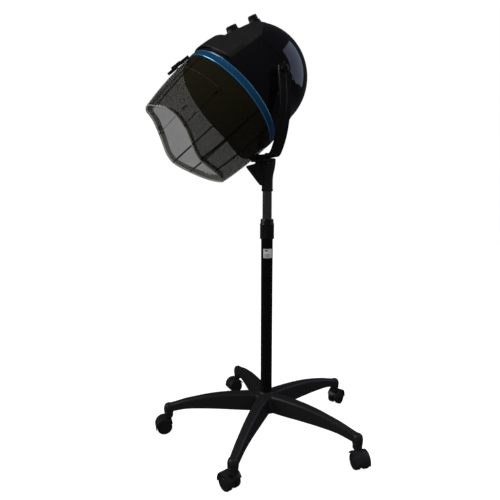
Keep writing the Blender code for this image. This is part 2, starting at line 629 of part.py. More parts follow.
def control_housing():
    def outline(degrees):
        start = panel_edge(degrees)
        stops = [start + (min(PANEL_W - 0.0008, PANEL_FRONT) - start) * i / 5.0 for i in range(6)]
        stops += [PANEL_W + 0.0008 + (PANEL_FRONT - PANEL_W - 0.0008) * i / 2.0 for i in range(3)]
        top = [(panel_radius(degrees, w), w) for w in stops]
        return top + [(r - SHELL_WALL, w) for r, w in reversed(top)]

    housing = finish("control_housing",
                     sector(bmesh.new(), outline, -PANEL_HALF_DEG, PANEL_HALF_DEG, 16),
                     "black_satin", TILT_POINT)
    hole = rod(bmesh.new(), panel_space(TIMER_W), 0.0045, -0.008, 0.008, 16)
    boolean(housing, cutter("timer_shaft_hole", hole))
    pedestal = rod(bmesh.new(), panel_space(TEMPERATURE_W), 0.0165, -0.0200, 0.0, 24)
    boolean(housing, cutter("switch_pedestal", pedestal), "UNION")
    well = rod(bmesh.new(), panel_space(TEMPERATURE_W), 0.0142, -0.0300, -0.0025, 24)
    boolean(housing, cutter("switch_well", well))
    hole = rod(bmesh.new(), panel_space(TEMPERATURE_W), 0.0045, -0.008, 0.008, 16)
    boolean(housing, cutter("temperature_shaft_hole", hole))
    opening = block(bmesh.new(), panel_space(LAMP_W), (-0.0052, -0.0082, -0.008), (0.0052, 0.0082, 0.008))
    boolean(housing, cutter("lamp_opening", opening))


def panel_space(w):
    """Local (along, across, out) space on the control panel at w."""
    height = panel_height(w)
    return frame(HOOD_ORIGIN + w * HOOD_AXIS + height * HOOD_UP, PANEL_T, SIDE, PANEL_N)


def controls():
    for name, w, radius, top in (("timer", TIMER_W, 0.0180, 0.0165), ("temperature", TEMPERATURE_W, 0.0155, 0.0185)):
        space = panel_space(w)
        knob = lathe(bmesh.new(), space, [
            (0.0, 0.0008), (radius, 0.0008), (radius, 0.0045), (radius - 0.0030, 0.0058),
            (radius - 0.0042, top - 0.0012), (radius - 0.0055, top), (0.0, top)], 24)
        obj = finish(f"{name}_knob", knob, "black_satin", space.translation)
        pointer = block(bmesh.new(), space, (0.0020, -0.0012, top - 0.0015), (radius - 0.0055, 0.0012, top + 0.0008))
        boolean(obj, cutter(f"{name}_pointer", pointer), "UNION")
        bore = rod(bmesh.new(), space, 0.0032, -0.001, 0.0105, 16)
        boolean(obj, cutter(f"{name}_bore", bore))
    space = panel_space(TIMER_W)
    unit = block(bmesh.new(), space, (-0.0190, -0.0210, -0.0290), (0.0190, 0.0210, -0.0042))
    timer = finish("timer_unit", unit, "steel", TILT_POINT)
    shaft = rod(bmesh.new(), space, 0.0030, -0.006, 0.0100, 16)
    boolean(timer, cutter("timer_shaft", shaft), "UNION")
    space = panel_space(TEMPERATURE_W)
    unit = block(bmesh.new(), space, (-0.0090, -0.0095, -0.0250), (0.0090, 0.0095, -0.0045))
    switch = finish("temperature_switch", unit, "steel", TILT_POINT)
    shaft = rod(bmesh.new(), space, 0.0030, -0.006, 0.0100, 16)
    boolean(switch, cutter("temperature_shaft", shaft), "UNION")
    lamp = block(bmesh.new(), panel_space(LAMP_W), (-0.0049, -0.0079, -0.0060), (0.0049, 0.0079, 0.0018))
    finish("pilot_lamp", lamp, "red_lens", TILT_POINT)


# ---------------------------------------------------------------- hood inside
def internals():
    bowl = lathe(bmesh.new(), HOOD, [
        (BOWL_R, BOWL_W), (BOWL_R, BOWL_W - 0.0030), (BOWL_R - 0.0108, 0.1220), (0.0880, 0.1030), (0.0360, 0.0950),
        (0.0360, 0.0970), (0.0875, 0.1052), (BOWL_R - 0.0126, 0.1238), (BOWL_R - 0.0023, BOWL_W - 0.0025),
        (BOWL_R - 0.0023, BOWL_W)], 32)
    bowl_obj = finish("inner_bowl", bowl, "black_satin", TILT_POINT)
    holes = bmesh.new()
    for i in range(8):
        angle = math.radians(45.0 * i)
        at = frame(HOOD_ORIGIN + 0.100 * HOOD_AXIS
                   + 0.068 * (math.cos(angle) * HOOD_UP + math.sin(angle) * SIDE),
                   HOOD_UP, SIDE, HOOD_AXIS)
        rod(holes, at, 0.0080, -0.010, 0.012, 8)
    boolean(bowl_obj, cutter("bowl_holes", holes))

    bracket = lathe(bmesh.new(), HOOD, [
        (0.0220, -0.0190), (0.0400, -0.0190), (0.0400, -0.0160), (0.0220, -0.0160)], 32)
    frame_obj = finish("motor_bracket", bracket, "steel", TILT_POINT)
    for i in range(3):
        angle = math.radians(90.0 + 90.0 * i)
        radial = math.cos(angle) * HOOD_UP + math.sin(angle) * SIDE
        at = frame(HOOD_ORIGIN, radial, HOOD_AXIS.cross(radial), HOOD_AXIS)
        arm = block(bmesh.new(), at, (0.0360, -0.0070, -0.0190), (0.1255, 0.0070, -0.0160))
        boolean(frame_obj, cutter(f"bracket_arm_{i}", arm), "UNION")
    motor = lathe(bmesh.new(), HOOD, [
        (0.0, -0.0880), (0.0120, -0.0880), (0.0150, -0.0830), (0.0340, -0.0800), (0.0370, -0.0760),
        (0.0370, -0.0240), (0.0340, -0.0193), (0.0160, -0.0193), (0.0160, -0.0125), (0.0040, -0.0125),
        (0.0040, 0.0150), (0.0, 0.0150)], TURNED_STEPS)
    finish("motor", motor, "steel", TILT_POINT)

    wheel = lathe(bmesh.new(), HOOD, [
        (0.0045, -0.0060), (0.0640, -0.0060), (0.0640, -0.0035), (0.0110, -0.0035), (0.0110, 0.0130),
        (0.0045, 0.0130)], 36)
    hub = HOOD_ORIGIN
    fan = finish("impeller", wheel, "black_nylon", hub)
    blades = bmesh.new()
    for i in range(10):
        angle = math.radians(36.0 * i)
        radial = math.cos(angle) * HOOD_UP + math.sin(angle) * SIDE
        tangent = HOOD_AXIS.cross(radial)
        along = (radial + 0.45 * tangent).normalized()
        at = frame(HOOD_ORIGIN + 0.046 * radial, along, HOOD_AXIS.cross(along), HOOD_AXIS)
        block(blades, at, (-0.0170, -0.0008, -0.0045), (0.0170, 0.0008, 0.0230))
    boolean(fan, cutter("fan_blades", blades), "UNION")

    former = finish("heater_former", block(
        bmesh.new(), HOOD, (-0.0700, -0.0008, 0.0330), (0.0700, 0.0008, 0.0620)), "mica", TILT_POINT)
    cross = block(bmesh.new(), HOOD, (-0.0009, -0.0690, 0.0335), (0.0009, 0.0690, 0.0615))
    boolean(former, cutter("former_cross", cross), "UNION")
    for name, low, high in (("u", (-0.0622, -0.0030, 0.0440), (-0.0578, 0.0030, 0.0510)),
                            ("d", (0.0578, -0.0030, 0.0440), (0.0622, 0.0030, 0.0510)),
                            ("l", (-0.0030, -0.0622, 0.0440), (0.0030, -0.0578, 0.0510)),
                            ("r", (-0.0030, 0.0578, 0.0440), (0.0030, 0.0622, 0.0510))):
        boolean(former, cutter(f"former_slot_{name}", block(bmesh.new(), HOOD, low, high)))
    coil = lathe(bmesh.new(), HOOD, [
        (0.0592, 0.0450), (0.0608, 0.0450), (0.0616, 0.0475), (0.0608, 0.0500), (0.0592, 0.0500),
        (0.0584, 0.0475)], 32)
    finish("heating_coil", coil, "nichrome", TILT_POINT)


# ---------------------------------------------------------------- visor
RIM = ((0.0, 0.2640), (22.0, 0.2620), (36.0, 0.2565), (48.0, 0.2540), (60.0, 0.2570), (72.0, 0.2635),
       (80.0, 0.2700), (90.0, 0.2785), (98.0, 0.2820), (104.0, 0.2825), (115.0, 0.2775), (130.0, 0.2680),
       (147.0, 0.2590), (165.0, 0.2515), (180.0, 0.2485))


def skirt_outline(degrees, start):
    """Section of the visor wall with its turned-in lip, at one angle."""
    folded = abs((degrees + 180.0) % 360.0 - 180.0)
    end = between(folded, RIM)
    turn, edge = end - 0.0030, visor_radius(end)
    outer = [(visor_radius(start + (turn - start) * i / 4.0), start + (turn - start) * i / 4.0) for i in range(5)]
    lip = [(edge - 0.0018, end), (edge - 0.0145, end - 0.0110), (edge - 0.0155, end - 0.0135),
           (edge - VISOR_WALL - 0.0006, end - 0.0035)]
    inner = [(r - VISOR_WALL, w) for r, w in outer]
    inner[-1] = (visor_radius(end - 0.0060) - VISOR_WALL, end - 0.0060)
    return outer + lip + inner[::-1]


def visor():
    skirt = finish("visor", around(bmesh.new(), lambda d: skirt_outline(d, RING_W1 + 0.0004), SHELL_STEPS),
                   "smoke_acrylic", TILT_POINT)
    half = FLAP_HALF_DEG + 0.2
    opening = sector(bmesh.new(), lambda d: [
        (0.100, FLAP_W - 0.0008), (0.155, FLAP_W - 0.0008), (0.155, 0.300), (0.100, 0.300)],
        -half, half, 24)
    boolean(skirt, cutter("flap_opening", opening))
    flap = sector(bmesh.new(), lambda d: skirt_outline(d, FLAP_W), -FLAP_HALF_DEG, FLAP_HALF_DEG, TURNED_STEPS)
    finish("front_flap", flap, "smoke_acrylic", hinge_point())

    at = frame(hinge_point(), HOOD_UP, SIDE, HOOD_AXIS)
    base = block(bmesh.new(), at, (-0.0056, -0.0300, -0.0280), (0.0010, 0.0300, -0.0045))
    hinge = finish("flap_hinge", base, "black_satin", TILT_POINT)
    for name, x0, x1 in (("left", -0.0300, -0.0170), ("right", 0.0170, 0.0300)):
        knuckle = prism(bmesh.new(), frame(hinge_point(), HOOD_UP, HOOD_AXIS, SIDE),
                        [(-0.0050, -0.0060), (0.0010, -0.0060), (0.0040, -0.0020), (0.0040, 0.0020),
                         (0.0020, 0.0040), (-0.0020, 0.0040), (-0.0040, 0.0020), (-0.0045, -0.0010)], x0, x1)
        boolean(hinge, cutter(f"hinge_knuckle_{name}", knuckle), "UNION")
    pin = rod(bmesh.new(), frame(hinge_point(), HOOD_UP, HOOD_AXIS, SIDE), 0.0018, -0.0250, 0.0250, 12)
    boolean(hinge, cutter("hinge_pin", pin), "UNION")
    leaf = block(bmesh.new(), at, (-0.0066, -0.0165, 0.0048), (0.0000, 0.0165, 0.0240))
    bracket = finish("flap_bracket", leaf, "black_satin", hinge_point())
    barrel = prism(bmesh.new(), frame(hinge_point(), HOOD_UP, HOOD_AXIS, SIDE),
                   [(-0.0045, 0.0060), (-0.0045, 0.0010), (-0.0035, -0.0025), (-0.0010, -0.0038),
                    (0.0020, -0.0035), (0.0038, -0.0010), (0.0030, 0.0040), (0.0000, 0.0070)], -0.0165, 0.0165)
    boolean(bracket, cutter("leaf_barrel", barrel), "UNION")
    pin_hole = rod(bmesh.new(), frame(hinge_point(), HOOD_UP, HOOD_AXIS, SIDE), 0.0019, -0.0200, 0.0200, 12)
    boolean(bracket, cutter("leaf_bore", pin_hole))

    clip = sector(bmesh.new(), lambda d: [
        (visor_radius(0.2400) + 0.0003, 0.2400), (visor_radius(0.2400) + 0.0040, 0.2400),
        (visor_radius(0.2500) + 0.0045, 0.2500), (visor_radius(0.2520) + 0.0025, 0.2520),
        (visor_radius(0.2520) + 0.0003, 0.2520)],
        -66.5, -61.5, 3)
    finish("flap_clip", clip, "black_satin", hinge_point())


def hinge_point():
    """Middle of the flap's hinge pin."""
    return HOOD_ORIGIN + FLAP_W * HOOD_AXIS + (visor_radius(0.1170) + 0.0060) * HOOD_UP


star_base()
hub_bolt()
casters()
column()
neck_socket()
fork_arm("left", -1.0)
fork_arm("right", 1.0)
shells()
control_housing()
controls()
internals()
visor()
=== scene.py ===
"""A rolling hood hair dryer: star base on casters, telescopic column, and a tilting drying hood.

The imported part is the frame. Each sub-assembly is a class that builds its detailed pieces in the
part's own coordinates (metres, +Z up, floor at z = 0) and dresses them in procedural finishes.
"""

from __future__ import annotations

import logging
import math
from collections.abc import Callable, Iterable, Sequence
from dataclasses import dataclass, field
from enum import Enum

import bmesh
import bpy
from mathutils import Matrix, Vector

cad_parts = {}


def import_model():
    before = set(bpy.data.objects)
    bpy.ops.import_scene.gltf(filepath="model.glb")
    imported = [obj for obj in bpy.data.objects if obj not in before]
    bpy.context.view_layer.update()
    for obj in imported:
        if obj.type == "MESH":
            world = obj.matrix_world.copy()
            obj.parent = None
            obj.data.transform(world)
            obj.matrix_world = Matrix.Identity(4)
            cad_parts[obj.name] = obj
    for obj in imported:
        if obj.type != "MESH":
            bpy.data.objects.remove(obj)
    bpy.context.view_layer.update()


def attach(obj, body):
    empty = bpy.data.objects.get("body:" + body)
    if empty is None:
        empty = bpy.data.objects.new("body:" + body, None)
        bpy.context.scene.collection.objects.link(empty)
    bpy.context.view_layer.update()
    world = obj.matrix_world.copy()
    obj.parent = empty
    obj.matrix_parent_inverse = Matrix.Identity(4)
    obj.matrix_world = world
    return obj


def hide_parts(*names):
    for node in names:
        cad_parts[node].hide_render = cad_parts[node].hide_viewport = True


LOG = logging.getLogger("hood_dryer")

Outline = Sequence[tuple[float, float]]
Colour = tuple[float, float, float]

UP = Vector((0.0, 0.0, 1.0))
SIDE = Vector((1.0, 0.0, 0.0))
FORWARD = Vector((0.0, -1.0, 0.0))


class Slot(Enum):
    """The record's material slots."""

    NYLON = "black_nylon"
    ENAMEL = "black_enamel"
    CHROME = "chrome"
    STEEL = "steel"
    SATIN = "black_satin"
    PANEL = "panel_satin"
    GLOSS = "black_gloss"
    BLUE = "blue_trim"
    SMOKE = "smoke_acrylic"
    MICA = "mica"
    NICHROME = "nichrome"
    LENS = "red_lens"
    TREAD = "caster_tread"


class Hand(Enum):
    """Which side of the hood a mirrored piece is on, as the sign of x."""

    LEFT = -1.0
    RIGHT = 1.0

    @property
    def word(self) -> str:
        """The side's name as it stands in piece names."""
        return self.name.lower()


# ------------------------------------------------------------------ spaces


def space_of(origin: Vector, first: Vector, second: Vector, third: Vector) -> Matrix:
    """Builds the matrix of a local space.

    Args:
        origin: Where local (0, 0, 0) lies.
        first: Direction of the first local axis.
        second: Direction of the second local axis.
        third: Direction of the third local axis.

    Returns:
        The matrix that takes local points into the row frame.
    """
    rows = [[first[i], second[i], third[i], origin[i]] for i in range(3)]
    return Matrix([*rows, [0.0, 0.0, 0.0, 1.0]])


def smooth_between(x: float, table: Outline) -> float:
    """Reads a table of (x, y) pairs with a smooth curve through its points.

    Args:
        x: Where to read it. Outside the table, its end value holds.
        table: Pairs in order of x.

    Returns:
        The value at x.
    """
    if x <= table[0][0]:
        return table[0][1]
    if x >= table[-1][0]:
        return table[-1][1]
    i = next(k for k in range(len(table) - 1) if x <= table[k + 1][0])
    (x0, y0), (x1, y1) = table[i], table[i + 1]
    before, after = table[max(i - 1, 0)], table[min(i + 2, len(table) - 1)]
    slope0 = (y1 - before[1]) / (x1 - before[0])
    slope1 = (after[1] - y0) / (after[0] - x0)
    t, step = (x - x0) / (x1 - x0), x1 - x0
    return (
        (2 * t**3 - 3 * t**2 + 1) * y0
        + (t**3 - 2 * t**2 + t) * step * slope0
        + (3 * t**2 - 2 * t**3) * y1
        + (t**3 - t**2) * step * slope1
    )


def bell(x: float, centre: float, half: float) -> float:
    """A smooth bump of height 1 that is 0 further than half from its centre."""
    t = abs(x - centre) / half
    return 0.0 if t >= 1.0 else 0.5 + 0.5 * math.cos(math.pi * t)


@dataclass(frozen=True)
class Layout:
    """Where the main axes of the dryer are."""

    column_x: float = 0.0077
    column_y: float = -0.0008
    dome_y: float = -0.0359
    dome_z: float = 0.9769
    tilt_y: float = -0.0370
    tilt_z: float = 0.9720
    hood_tilt_deg: float = 42.0
    hinge_w: float = 0.1445
    hinge_u: float = 0.1494
    visor_widest: float = 0.1437
    visor_widest_at: float = 0.0930
    visor_taper: float = 0.58

    @property
    def column(self) -> Vector:
        """The column axis on the floor."""
        return Vector((self.column_x, self.column_y, 0.0))

    @property
    def upright(self) -> Matrix:
        """Local (x, y, z) space on the column axis."""
        return space_of(self.column, SIDE, -FORWARD, UP)

    @property
    def profile(self) -> Matrix:
        """Local (forward, up, sideways) space on the column axis."""
        return space_of(self.column, FORWARD, UP, SIDE)

    @property
    def axis(self) -> Vector:
        """The hood's own axis, out of its opening."""
        tilt = math.radians(self.hood_tilt_deg)
        return Vector((0.0, -math.cos(tilt), -math.sin(tilt)))

    @property
    def crown(self) -> Vector:
        """Square to the hood's axis, towards the control panel."""
        tilt = math.radians(self.hood_tilt_deg)
        return Vector((0.0, -math.sin(tilt), math.cos(tilt)))

    @property
    def centre(self) -> Vector:
        """The centre of the dome."""
        return self.column + Vector((0.0, self.dome_y, self.dome_z))

    @property
    def hood(self) -> Matrix:
        """Local (up from the axis, sideways, along the axis) space of the hood."""
        return space_of(self.centre, self.crown, SIDE, self.axis)

    @property
    def tilt_point(self) -> Vector:
        """The tilt axis, in the middle plane."""
        return self.column + Vector((0.0, self.tilt_y, self.tilt_z))

    def visor_radius(self, w: float) -> float:
        """Outside radius of the barrel-shaped visor."""
        return self.visor_widest - self.visor_taper * max(w - self.visor_widest_at, 0.0) ** 2

    @property
    def hinge(self) -> Vector:
        """The middle of the flap's hinge pin."""
        return self.centre + self.hinge_w * self.axis + self.hinge_u * self.crown


# ------------------------------------------------------------------ finishes


class Recipe:
    """A Principled material while its nodes are put together."""

    def __init__(self, name: str) -> None:
        """Starts an empty material.

        Args:
            name: The material's name.
        """
        self.material = bpy.data.materials.new(name)
        self.material.use_nodes = True
        self.tree = self.material.node_tree
        self.shader = self.tree.nodes["Principled BSDF"]
        self.place = self.tree.nodes.new("ShaderNodeTexCoord").outputs["Object"]

    def set(self, **values: float | tuple) -> None:
        """Sets the shader's own sockets, named with underscores for spaces."""
        for key, value in values.items():
            self.shader.inputs[key.replace("_", " ")].default_value = value

    def link(self, output: bpy.types.NodeSocket, socket: str) -> None:
        """Joins an output to a socket of the shader."""
        self.tree.links.new(output, self.shader.inputs[socket])

    def stretched(self, scale: Sequence[float], turn: Sequence[float] = (0, 0, 0)) -> bpy.types.NodeSocket:
        """Object coordinates after a Mapping node.

        Args:
            scale: Scale on each axis.
            turn: Rotation on each axis, in radians.

        Returns:
            The mapped coordinates.
        """
        node = self.tree.nodes.new("ShaderNodeMapping")
        node.inputs["Scale"].default_value = scale
        node.inputs["Rotation"].default_value = turn
        self.tree.links.new(self.place, node.inputs["Vector"])
        return node.outputs["Vector"]

    def noise(
        self,
        scale: float,
        detail: float = 3.0,
        roughness: float = 0.5,
        place: bpy.types.NodeSocket | None = None,
    ) -> bpy.types.NodeSocket:
        """A noise pattern.

        Args:
            scale: Features per metre, roughly.
            detail: Octaves.
            roughness: How strong the fine octaves are.
            place: Coordinates, or None for the object's own.

        Returns:
            Its value, from 0 to 1.
        """
        node = self.tree.nodes.new("ShaderNodeTexNoise")
        node.inputs["Scale"].default_value = scale
        node.inputs["Detail"].default_value = detail
        node.inputs["Roughness"].default_value = roughness
        self.tree.links.new(place or self.place, node.inputs["Vector"])
        return node.outputs["Fac"]

    def cells(self, scale: float) -> bpy.types.NodeSocket:
        """Distance to the nearest point of a cell pattern of that many cells per metre."""
        node = self.tree.nodes.new("ShaderNodeTexVoronoi")
        node.inputs["Scale"].default_value = scale
        self.tree.links.new(self.place, node.inputs["Vector"])
        return node.outputs["Distance"]

    def bands(self, scale: float, direction: str, distortion: float = 0.0) -> bpy.types.NodeSocket:
        """A band pattern.

        Args:
            scale: Bands, in Blender's own unit.
            direction: The axis that the bands follow each other along.
            distortion: How wavy they are.

        Returns:
            Its value, from 0 to 1.
        """
        node = self.tree.nodes.new("ShaderNodeTexWave")
        node.bands_direction = direction
        node.inputs["Scale"].default_value = scale
        node.inputs["Distortion"].default_value = distortion
        self.tree.links.new(self.place, node.inputs["Vector"])
        return node.outputs["Fac"]

    def ranged(
        self, value: bpy.types.NodeSocket, low: float, high: float, start: float = 0.0, end: float = 1.0
    ) -> bpy.types.NodeSocket:
        """Maps start..end of a value to low..high."""
        node = self.tree.nodes.new("ShaderNodeMapRange")
        node.inputs["From Min"].default_value = start
        node.inputs["From Max"].default_value = end
        node.inputs["To Min"].default_value = low
        node.inputs["To Max"].default_value = high
        self.tree.links.new(value, node.inputs["Value"])
        return node.outputs["Result"]

    def tinted(self, value: bpy.types.NodeSocket, low: Colour, high: Colour) -> bpy.types.NodeSocket:
        """A colour between two, by a value from 0 to 1."""
        node = self.tree.nodes.new("ShaderNodeValToRGB")
        node.color_ramp.elements[0].color = (*low, 1.0)
        node.color_ramp.elements[1].color = (*high, 1.0)
        self.tree.links.new(value, node.inputs["Fac"])
        return node.outputs["Color"]

    def bump(self, height: bpy.types.NodeSocket, depth: float, strength: float = 1.0) -> None:
        """Adds relief under whatever relief is already there.

        Args:
            height: The pattern, from 0 to 1.
            depth: Its depth in metres.
            strength: How much of it shows.
        """
        node = self.tree.nodes.new("ShaderNodeBump")
        node.inputs["Distance"].default_value = depth
        node.inputs["Strength"].default_value = strength
        self.tree.links.new(height, node.inputs["Height"])
        taken = self.shader.inputs["Normal"].links
        if taken:
            self.tree.links.new(taken[0].from_socket, node.inputs["Normal"])
        self.link(node.outputs["Normal"], "Normal")


@dataclass(frozen=True)
class Finish:
    """A surface finish. Its material is made once and shared."""

    name: str
    slot: Slot
    colour: Colour
    worn: Colour
    rough: tuple[float, float] = (0.3, 0.4)

    def dress(self, recipe: Recipe) -> None:
        """Adds the finish's own texture. The plain finish has only colour and roughness."""

    def material(self) -> bpy.types.Material:
        """Finds the finish's material, or makes it.

        Returns:
            The material.
        """
        found = bpy.data.materials.get(self.name)
        if found:
            return found
        recipe = Recipe(self.name)
        patches = recipe.noise(9.0, 4.0, 0.6)
        recipe.link(recipe.tinted(patches, self.colour, self.worn), "Base Color")
        recipe.link(recipe.ranged(recipe.noise(60.0, 3.0), *self.rough, 0.3, 0.7), "Roughness")
        self.dress(recipe)
        return recipe.material


@dataclass(frozen=True)
class Grained(Finish):
    """Moulded plastic with a fine spark-eroded grain."""

    grain: float = 1400.0
    depth: float = 0.00008
    coat: float = 0.0

    def dress(self, recipe: Recipe) -> None:
        """Adds the mould's grain, shallow sink waves and fine rub marks."""
        recipe.set(IOR=1.5, Coat_Weight=self.coat, Coat_Roughness=0.18)
        recipe.bump(recipe.noise(26.0, 2.0), 0.0012, 0.25)
        recipe.bump(recipe.cells(self.grain), self.depth, 0.55)
        recipe.bump(recipe.noise(self.grain * 1.9, 2.0), self.depth * 0.6, 0.5)


@dataclass(frozen=True)
class Glossed(Finish):
    """High-gloss moulded plastic, polished and faintly wavy."""

    def dress(self, recipe: Recipe) -> None:
        """Adds flow waves, hairline scratches and a hard coat."""
        recipe.set(IOR=1.52, Coat_Weight=0.6, Coat_Roughness=0.03)
        recipe.bump(recipe.noise(14.0, 1.0), 0.0016, 0.10)
        lines = recipe.noise(160.0, 2.0, 0.7, recipe.stretched((1.0, 9.0, 0.5), (0.7, 0.2, 0.4)))
        recipe.bump(lines, 0.00003, 0.35)


@dataclass(frozen=True)
class Enamelled(Finish):
    """Powder-coated steel."""

    def dress(self, recipe: Recipe) -> None:
        """Adds the coating's orange peel under a clear gloss."""
        recipe.set(IOR=1.5, Coat_Weight=0.35, Coat_Roughness=0.12)
        recipe.bump(recipe.noise(420.0, 2.0), 0.00015, 0.5)
        recipe.bump(recipe.noise(70.0, 1.0), 0.0004, 0.2)


@dataclass(frozen=True)
class Metal(Finish):
    """Bare or plated metal with drawn lines along it."""

    lines: tuple[float, float, float] = (1.0, 1.0, 0.03)

    def dress(self, recipe: Recipe) -> None:
        """Adds drawing lines and faint handling marks."""
        recipe.set(Metallic=1.0)
        drawn = recipe.noise(900.0, 3.0, 0.6, recipe.stretched(self.lines))
        recipe.bump(drawn, 0.00004, 0.5)
        recipe.bump(recipe.noise(35.0, 2.0), 0.0003, 0.12)


@dataclass(frozen=True)
class BlueTrim(Finish):
    """Translucent blue moulding over a bright foil."""

    def dress(self, recipe: Recipe) -> None:
        """Adds the foil's glints and a clear coat."""
        recipe.set(Metallic=0.55, Coat_Weight=1.0, Coat_Roughness=0.04, IOR=1.5)
        recipe.bump(recipe.cells(700.0), 0.00006, 0.4)
        recipe.bump(recipe.noise(40.0, 1.0), 0.0005, 0.2)


@dataclass(frozen=True)
class SmokeAcrylic(Finish):
    """See-through tinted acrylic. Thickness is what makes one part of it denser; its dark rib copy also carries painted
    shade, and its bright edge copy is a painted highlight.
    """

    opacity: float = 0.5

    def dress(self, recipe: Recipe) -> None:
        """Adds streaks of tint, faint smears and the opacity of one face."""
        recipe.set(IOR=1.49)
        streaks = recipe.noise(22.0, 3.0, 0.6, recipe.stretched((1.0, 0.35, 0.35), (0.79, 0.0, 0.0)))
        recipe.link(
            recipe.ranged(streaks, self.opacity - 0.03, self.opacity + 0.03, 0.3, 0.7), "Alpha"
        )
        recipe.bump(recipe.noise(18.0, 1.0), 0.0008, 0.08)


@dataclass(frozen=True)
class Layered(Finish):
    """Pressed mica: thin flakes in sheets."""

    def dress(self, recipe: Recipe) -> None:
        """Adds flakes and their relief."""
        recipe.set(IOR=1.55, Coat_Weight=0.3, Coat_Roughness=0.2)
        recipe.bump(recipe.cells(260.0), 0.0001, 0.6)


@dataclass(frozen=True)
class Printed(Finish):
    """Ink or paper with a faint tooth."""

    def dress(self, recipe: Recipe) -> None:
        """Adds the tooth of paper under a thin laminate."""
        recipe.set(Coat_Weight=0.4, Coat_Roughness=0.15)
        recipe.bump(recipe.noise(2600.0, 2.0), 0.00003, 0.5)


@dataclass(frozen=True)
class Lens(Finish):
    """A red indicator lens with a prismatic back."""

    def dress(self, recipe: Recipe) -> None:
        """Adds prisms under a clear coat."""
        recipe.set(IOR=1.49, Coat_Weight=1.0, Coat_Roughness=0.05)
        recipe.bump(recipe.bands(260.0, "X"), 0.0003, 0.4)


NYLON = Grained("moulded_black_nylon", Slot.NYLON, (0.0105, 0.0105, 0.0110), (0.0170, 0.0168, 0.0170), (0.34, 0.46), 1100.0)
SATIN = Grained("satin_black_plastic", Slot.SATIN, (0.0060, 0.0060, 0.0064), (0.0090, 0.0090, 0.0095), (0.26, 0.36), 1800.0)
PANEL = Grained("matt_panel_plastic", Slot.PANEL, (0.0085, 0.0085, 0.0090), (0.0120, 0.0120, 0.0125), (0.36, 0.46), 1500.0)
KNOB = Grained("knob_plastic", Slot.SATIN, (0.0045, 0.0045, 0.0048), (0.0070, 0.0070, 0.0072), (0.30, 0.42), 2200.0)
TREAD = Grained("caster_wheel_nylon", Slot.TREAD, (0.0080, 0.0080, 0.0082), (0.0160, 0.0155, 0.0150), (0.40, 0.60), 900.0)
INNER_BLACK = Grained("heat_proof_plastic", Slot.SATIN, (0.0080, 0.0078, 0.0075), (0.0120, 0.0118, 0.0112), (0.35, 0.5), 1200.0)
GLOSS = Glossed("polished_black_shell", Slot.GLOSS, (0.0025, 0.0025, 0.0030), (0.0035, 0.0035, 0.0042), (0.05, 0.10))
ENAMEL = Enamelled("black_powder_coat", Slot.ENAMEL, (0.0020, 0.0020, 0.0022), (0.0032, 0.0032, 0.0034), (0.16, 0.26))
CHROME = Metal("bright_chrome", Slot.CHROME, (0.62, 0.60, 0.57), (0.70, 0.68, 0.65), (0.08, 0.16))
STEEL = Metal("zinc_plated_steel", Slot.STEEL, (0.36, 0.36, 0.37), (0.48, 0.47, 0.46), (0.28, 0.42), (1.0, 1.0, 1.0))
BLACK_STEEL = Metal("blackened_screw_steel", Slot.STEEL, (0.10, 0.10, 0.105), (0.16, 0.16, 0.165), (0.24, 0.34), (1.0, 1.0, 1.0))
NICHROME = Metal("resistance_wire", Slot.NICHROME, (0.30, 0.26, 0.23), (0.42, 0.36, 0.30), (0.30, 0.45), (1.0, 1.0, 1.0))
BLUE = BlueTrim("blue_foil_trim", Slot.BLUE, (0.004, 0.080, 0.22), (0.008, 0.115, 0.30), (0.20, 0.30))
# Painted highlight: a lighter copy of the blue trim laid on the ring's two edge beads.
BLUE_EDGE_HIGHLIGHT = BlueTrim("blue_bright_edge", Slot.BLUE, (0.10, 0.33, 0.50), (0.16, 0.42, 0.58), (0.12, 0.20))
SMOKE = SmokeAcrylic("smoke_tinted_acrylic", Slot.SMOKE, (0.0125, 0.0112, 0.0050), (0.0170, 0.0155, 0.0075), (0.05, 0.09), 0.56)
# Painted shade: a near-black copy of the acrylic on the moulded ribs. It is denser where the acrylic is thicker, and
# darker with painted shade. It also lines the flap's side seams.
SMOKE_RIB_SHADE = SmokeAcrylic("smoke_acrylic_rib", Slot.SMOKE, (0.0030, 0.0028, 0.0020), (0.0045, 0.0042, 0.0030), (0.06, 0.10), 0.88)
SMOKE_LIP = SmokeAcrylic("smoke_acrylic_lip", Slot.SMOKE, (0.10, 0.098, 0.078), (0.14, 0.137, 0.110), (0.06, 0.12), 0.66)
# Painted highlight: a bright, nearly opaque copy of the acrylic laid along the visor's rim and the flap's cut edge.
SMOKE_EDGE_HIGHLIGHT = SmokeAcrylic("smoke_acrylic_cut_edge", Slot.SMOKE, (0.36, 0.355, 0.33), (0.46, 0.45, 0.42), (0.08, 0.16), 0.90)
MICA = Layered("pressed_mica", Slot.MICA, (0.42, 0.34, 0.22), (0.58, 0.49, 0.34), (0.35, 0.5))
PAPER = Printed("white_label_paper", Slot.ENAMEL, (0.70, 0.70, 0.69), (0.80, 0.80, 0.79), (0.35, 0.5))
RED_INK = Printed("red_label_ink", Slot.ENAMEL, (0.30, 0.03, 0.03), (0.38, 0.05, 0.05), (0.35, 0.5))
WHITE_INK = Printed("white_scale_ink", Slot.PANEL, (0.50, 0.50, 0.50), (0.62, 0.62, 0.62), (0.4, 0.5))
LENS = Lens("red_pilot_lens", Slot.LENS, (0.30, 0.004, 0.012), (0.42, 0.008, 0.02), (0.12, 0.2))


# ------------------------------------------------------------------ shapes


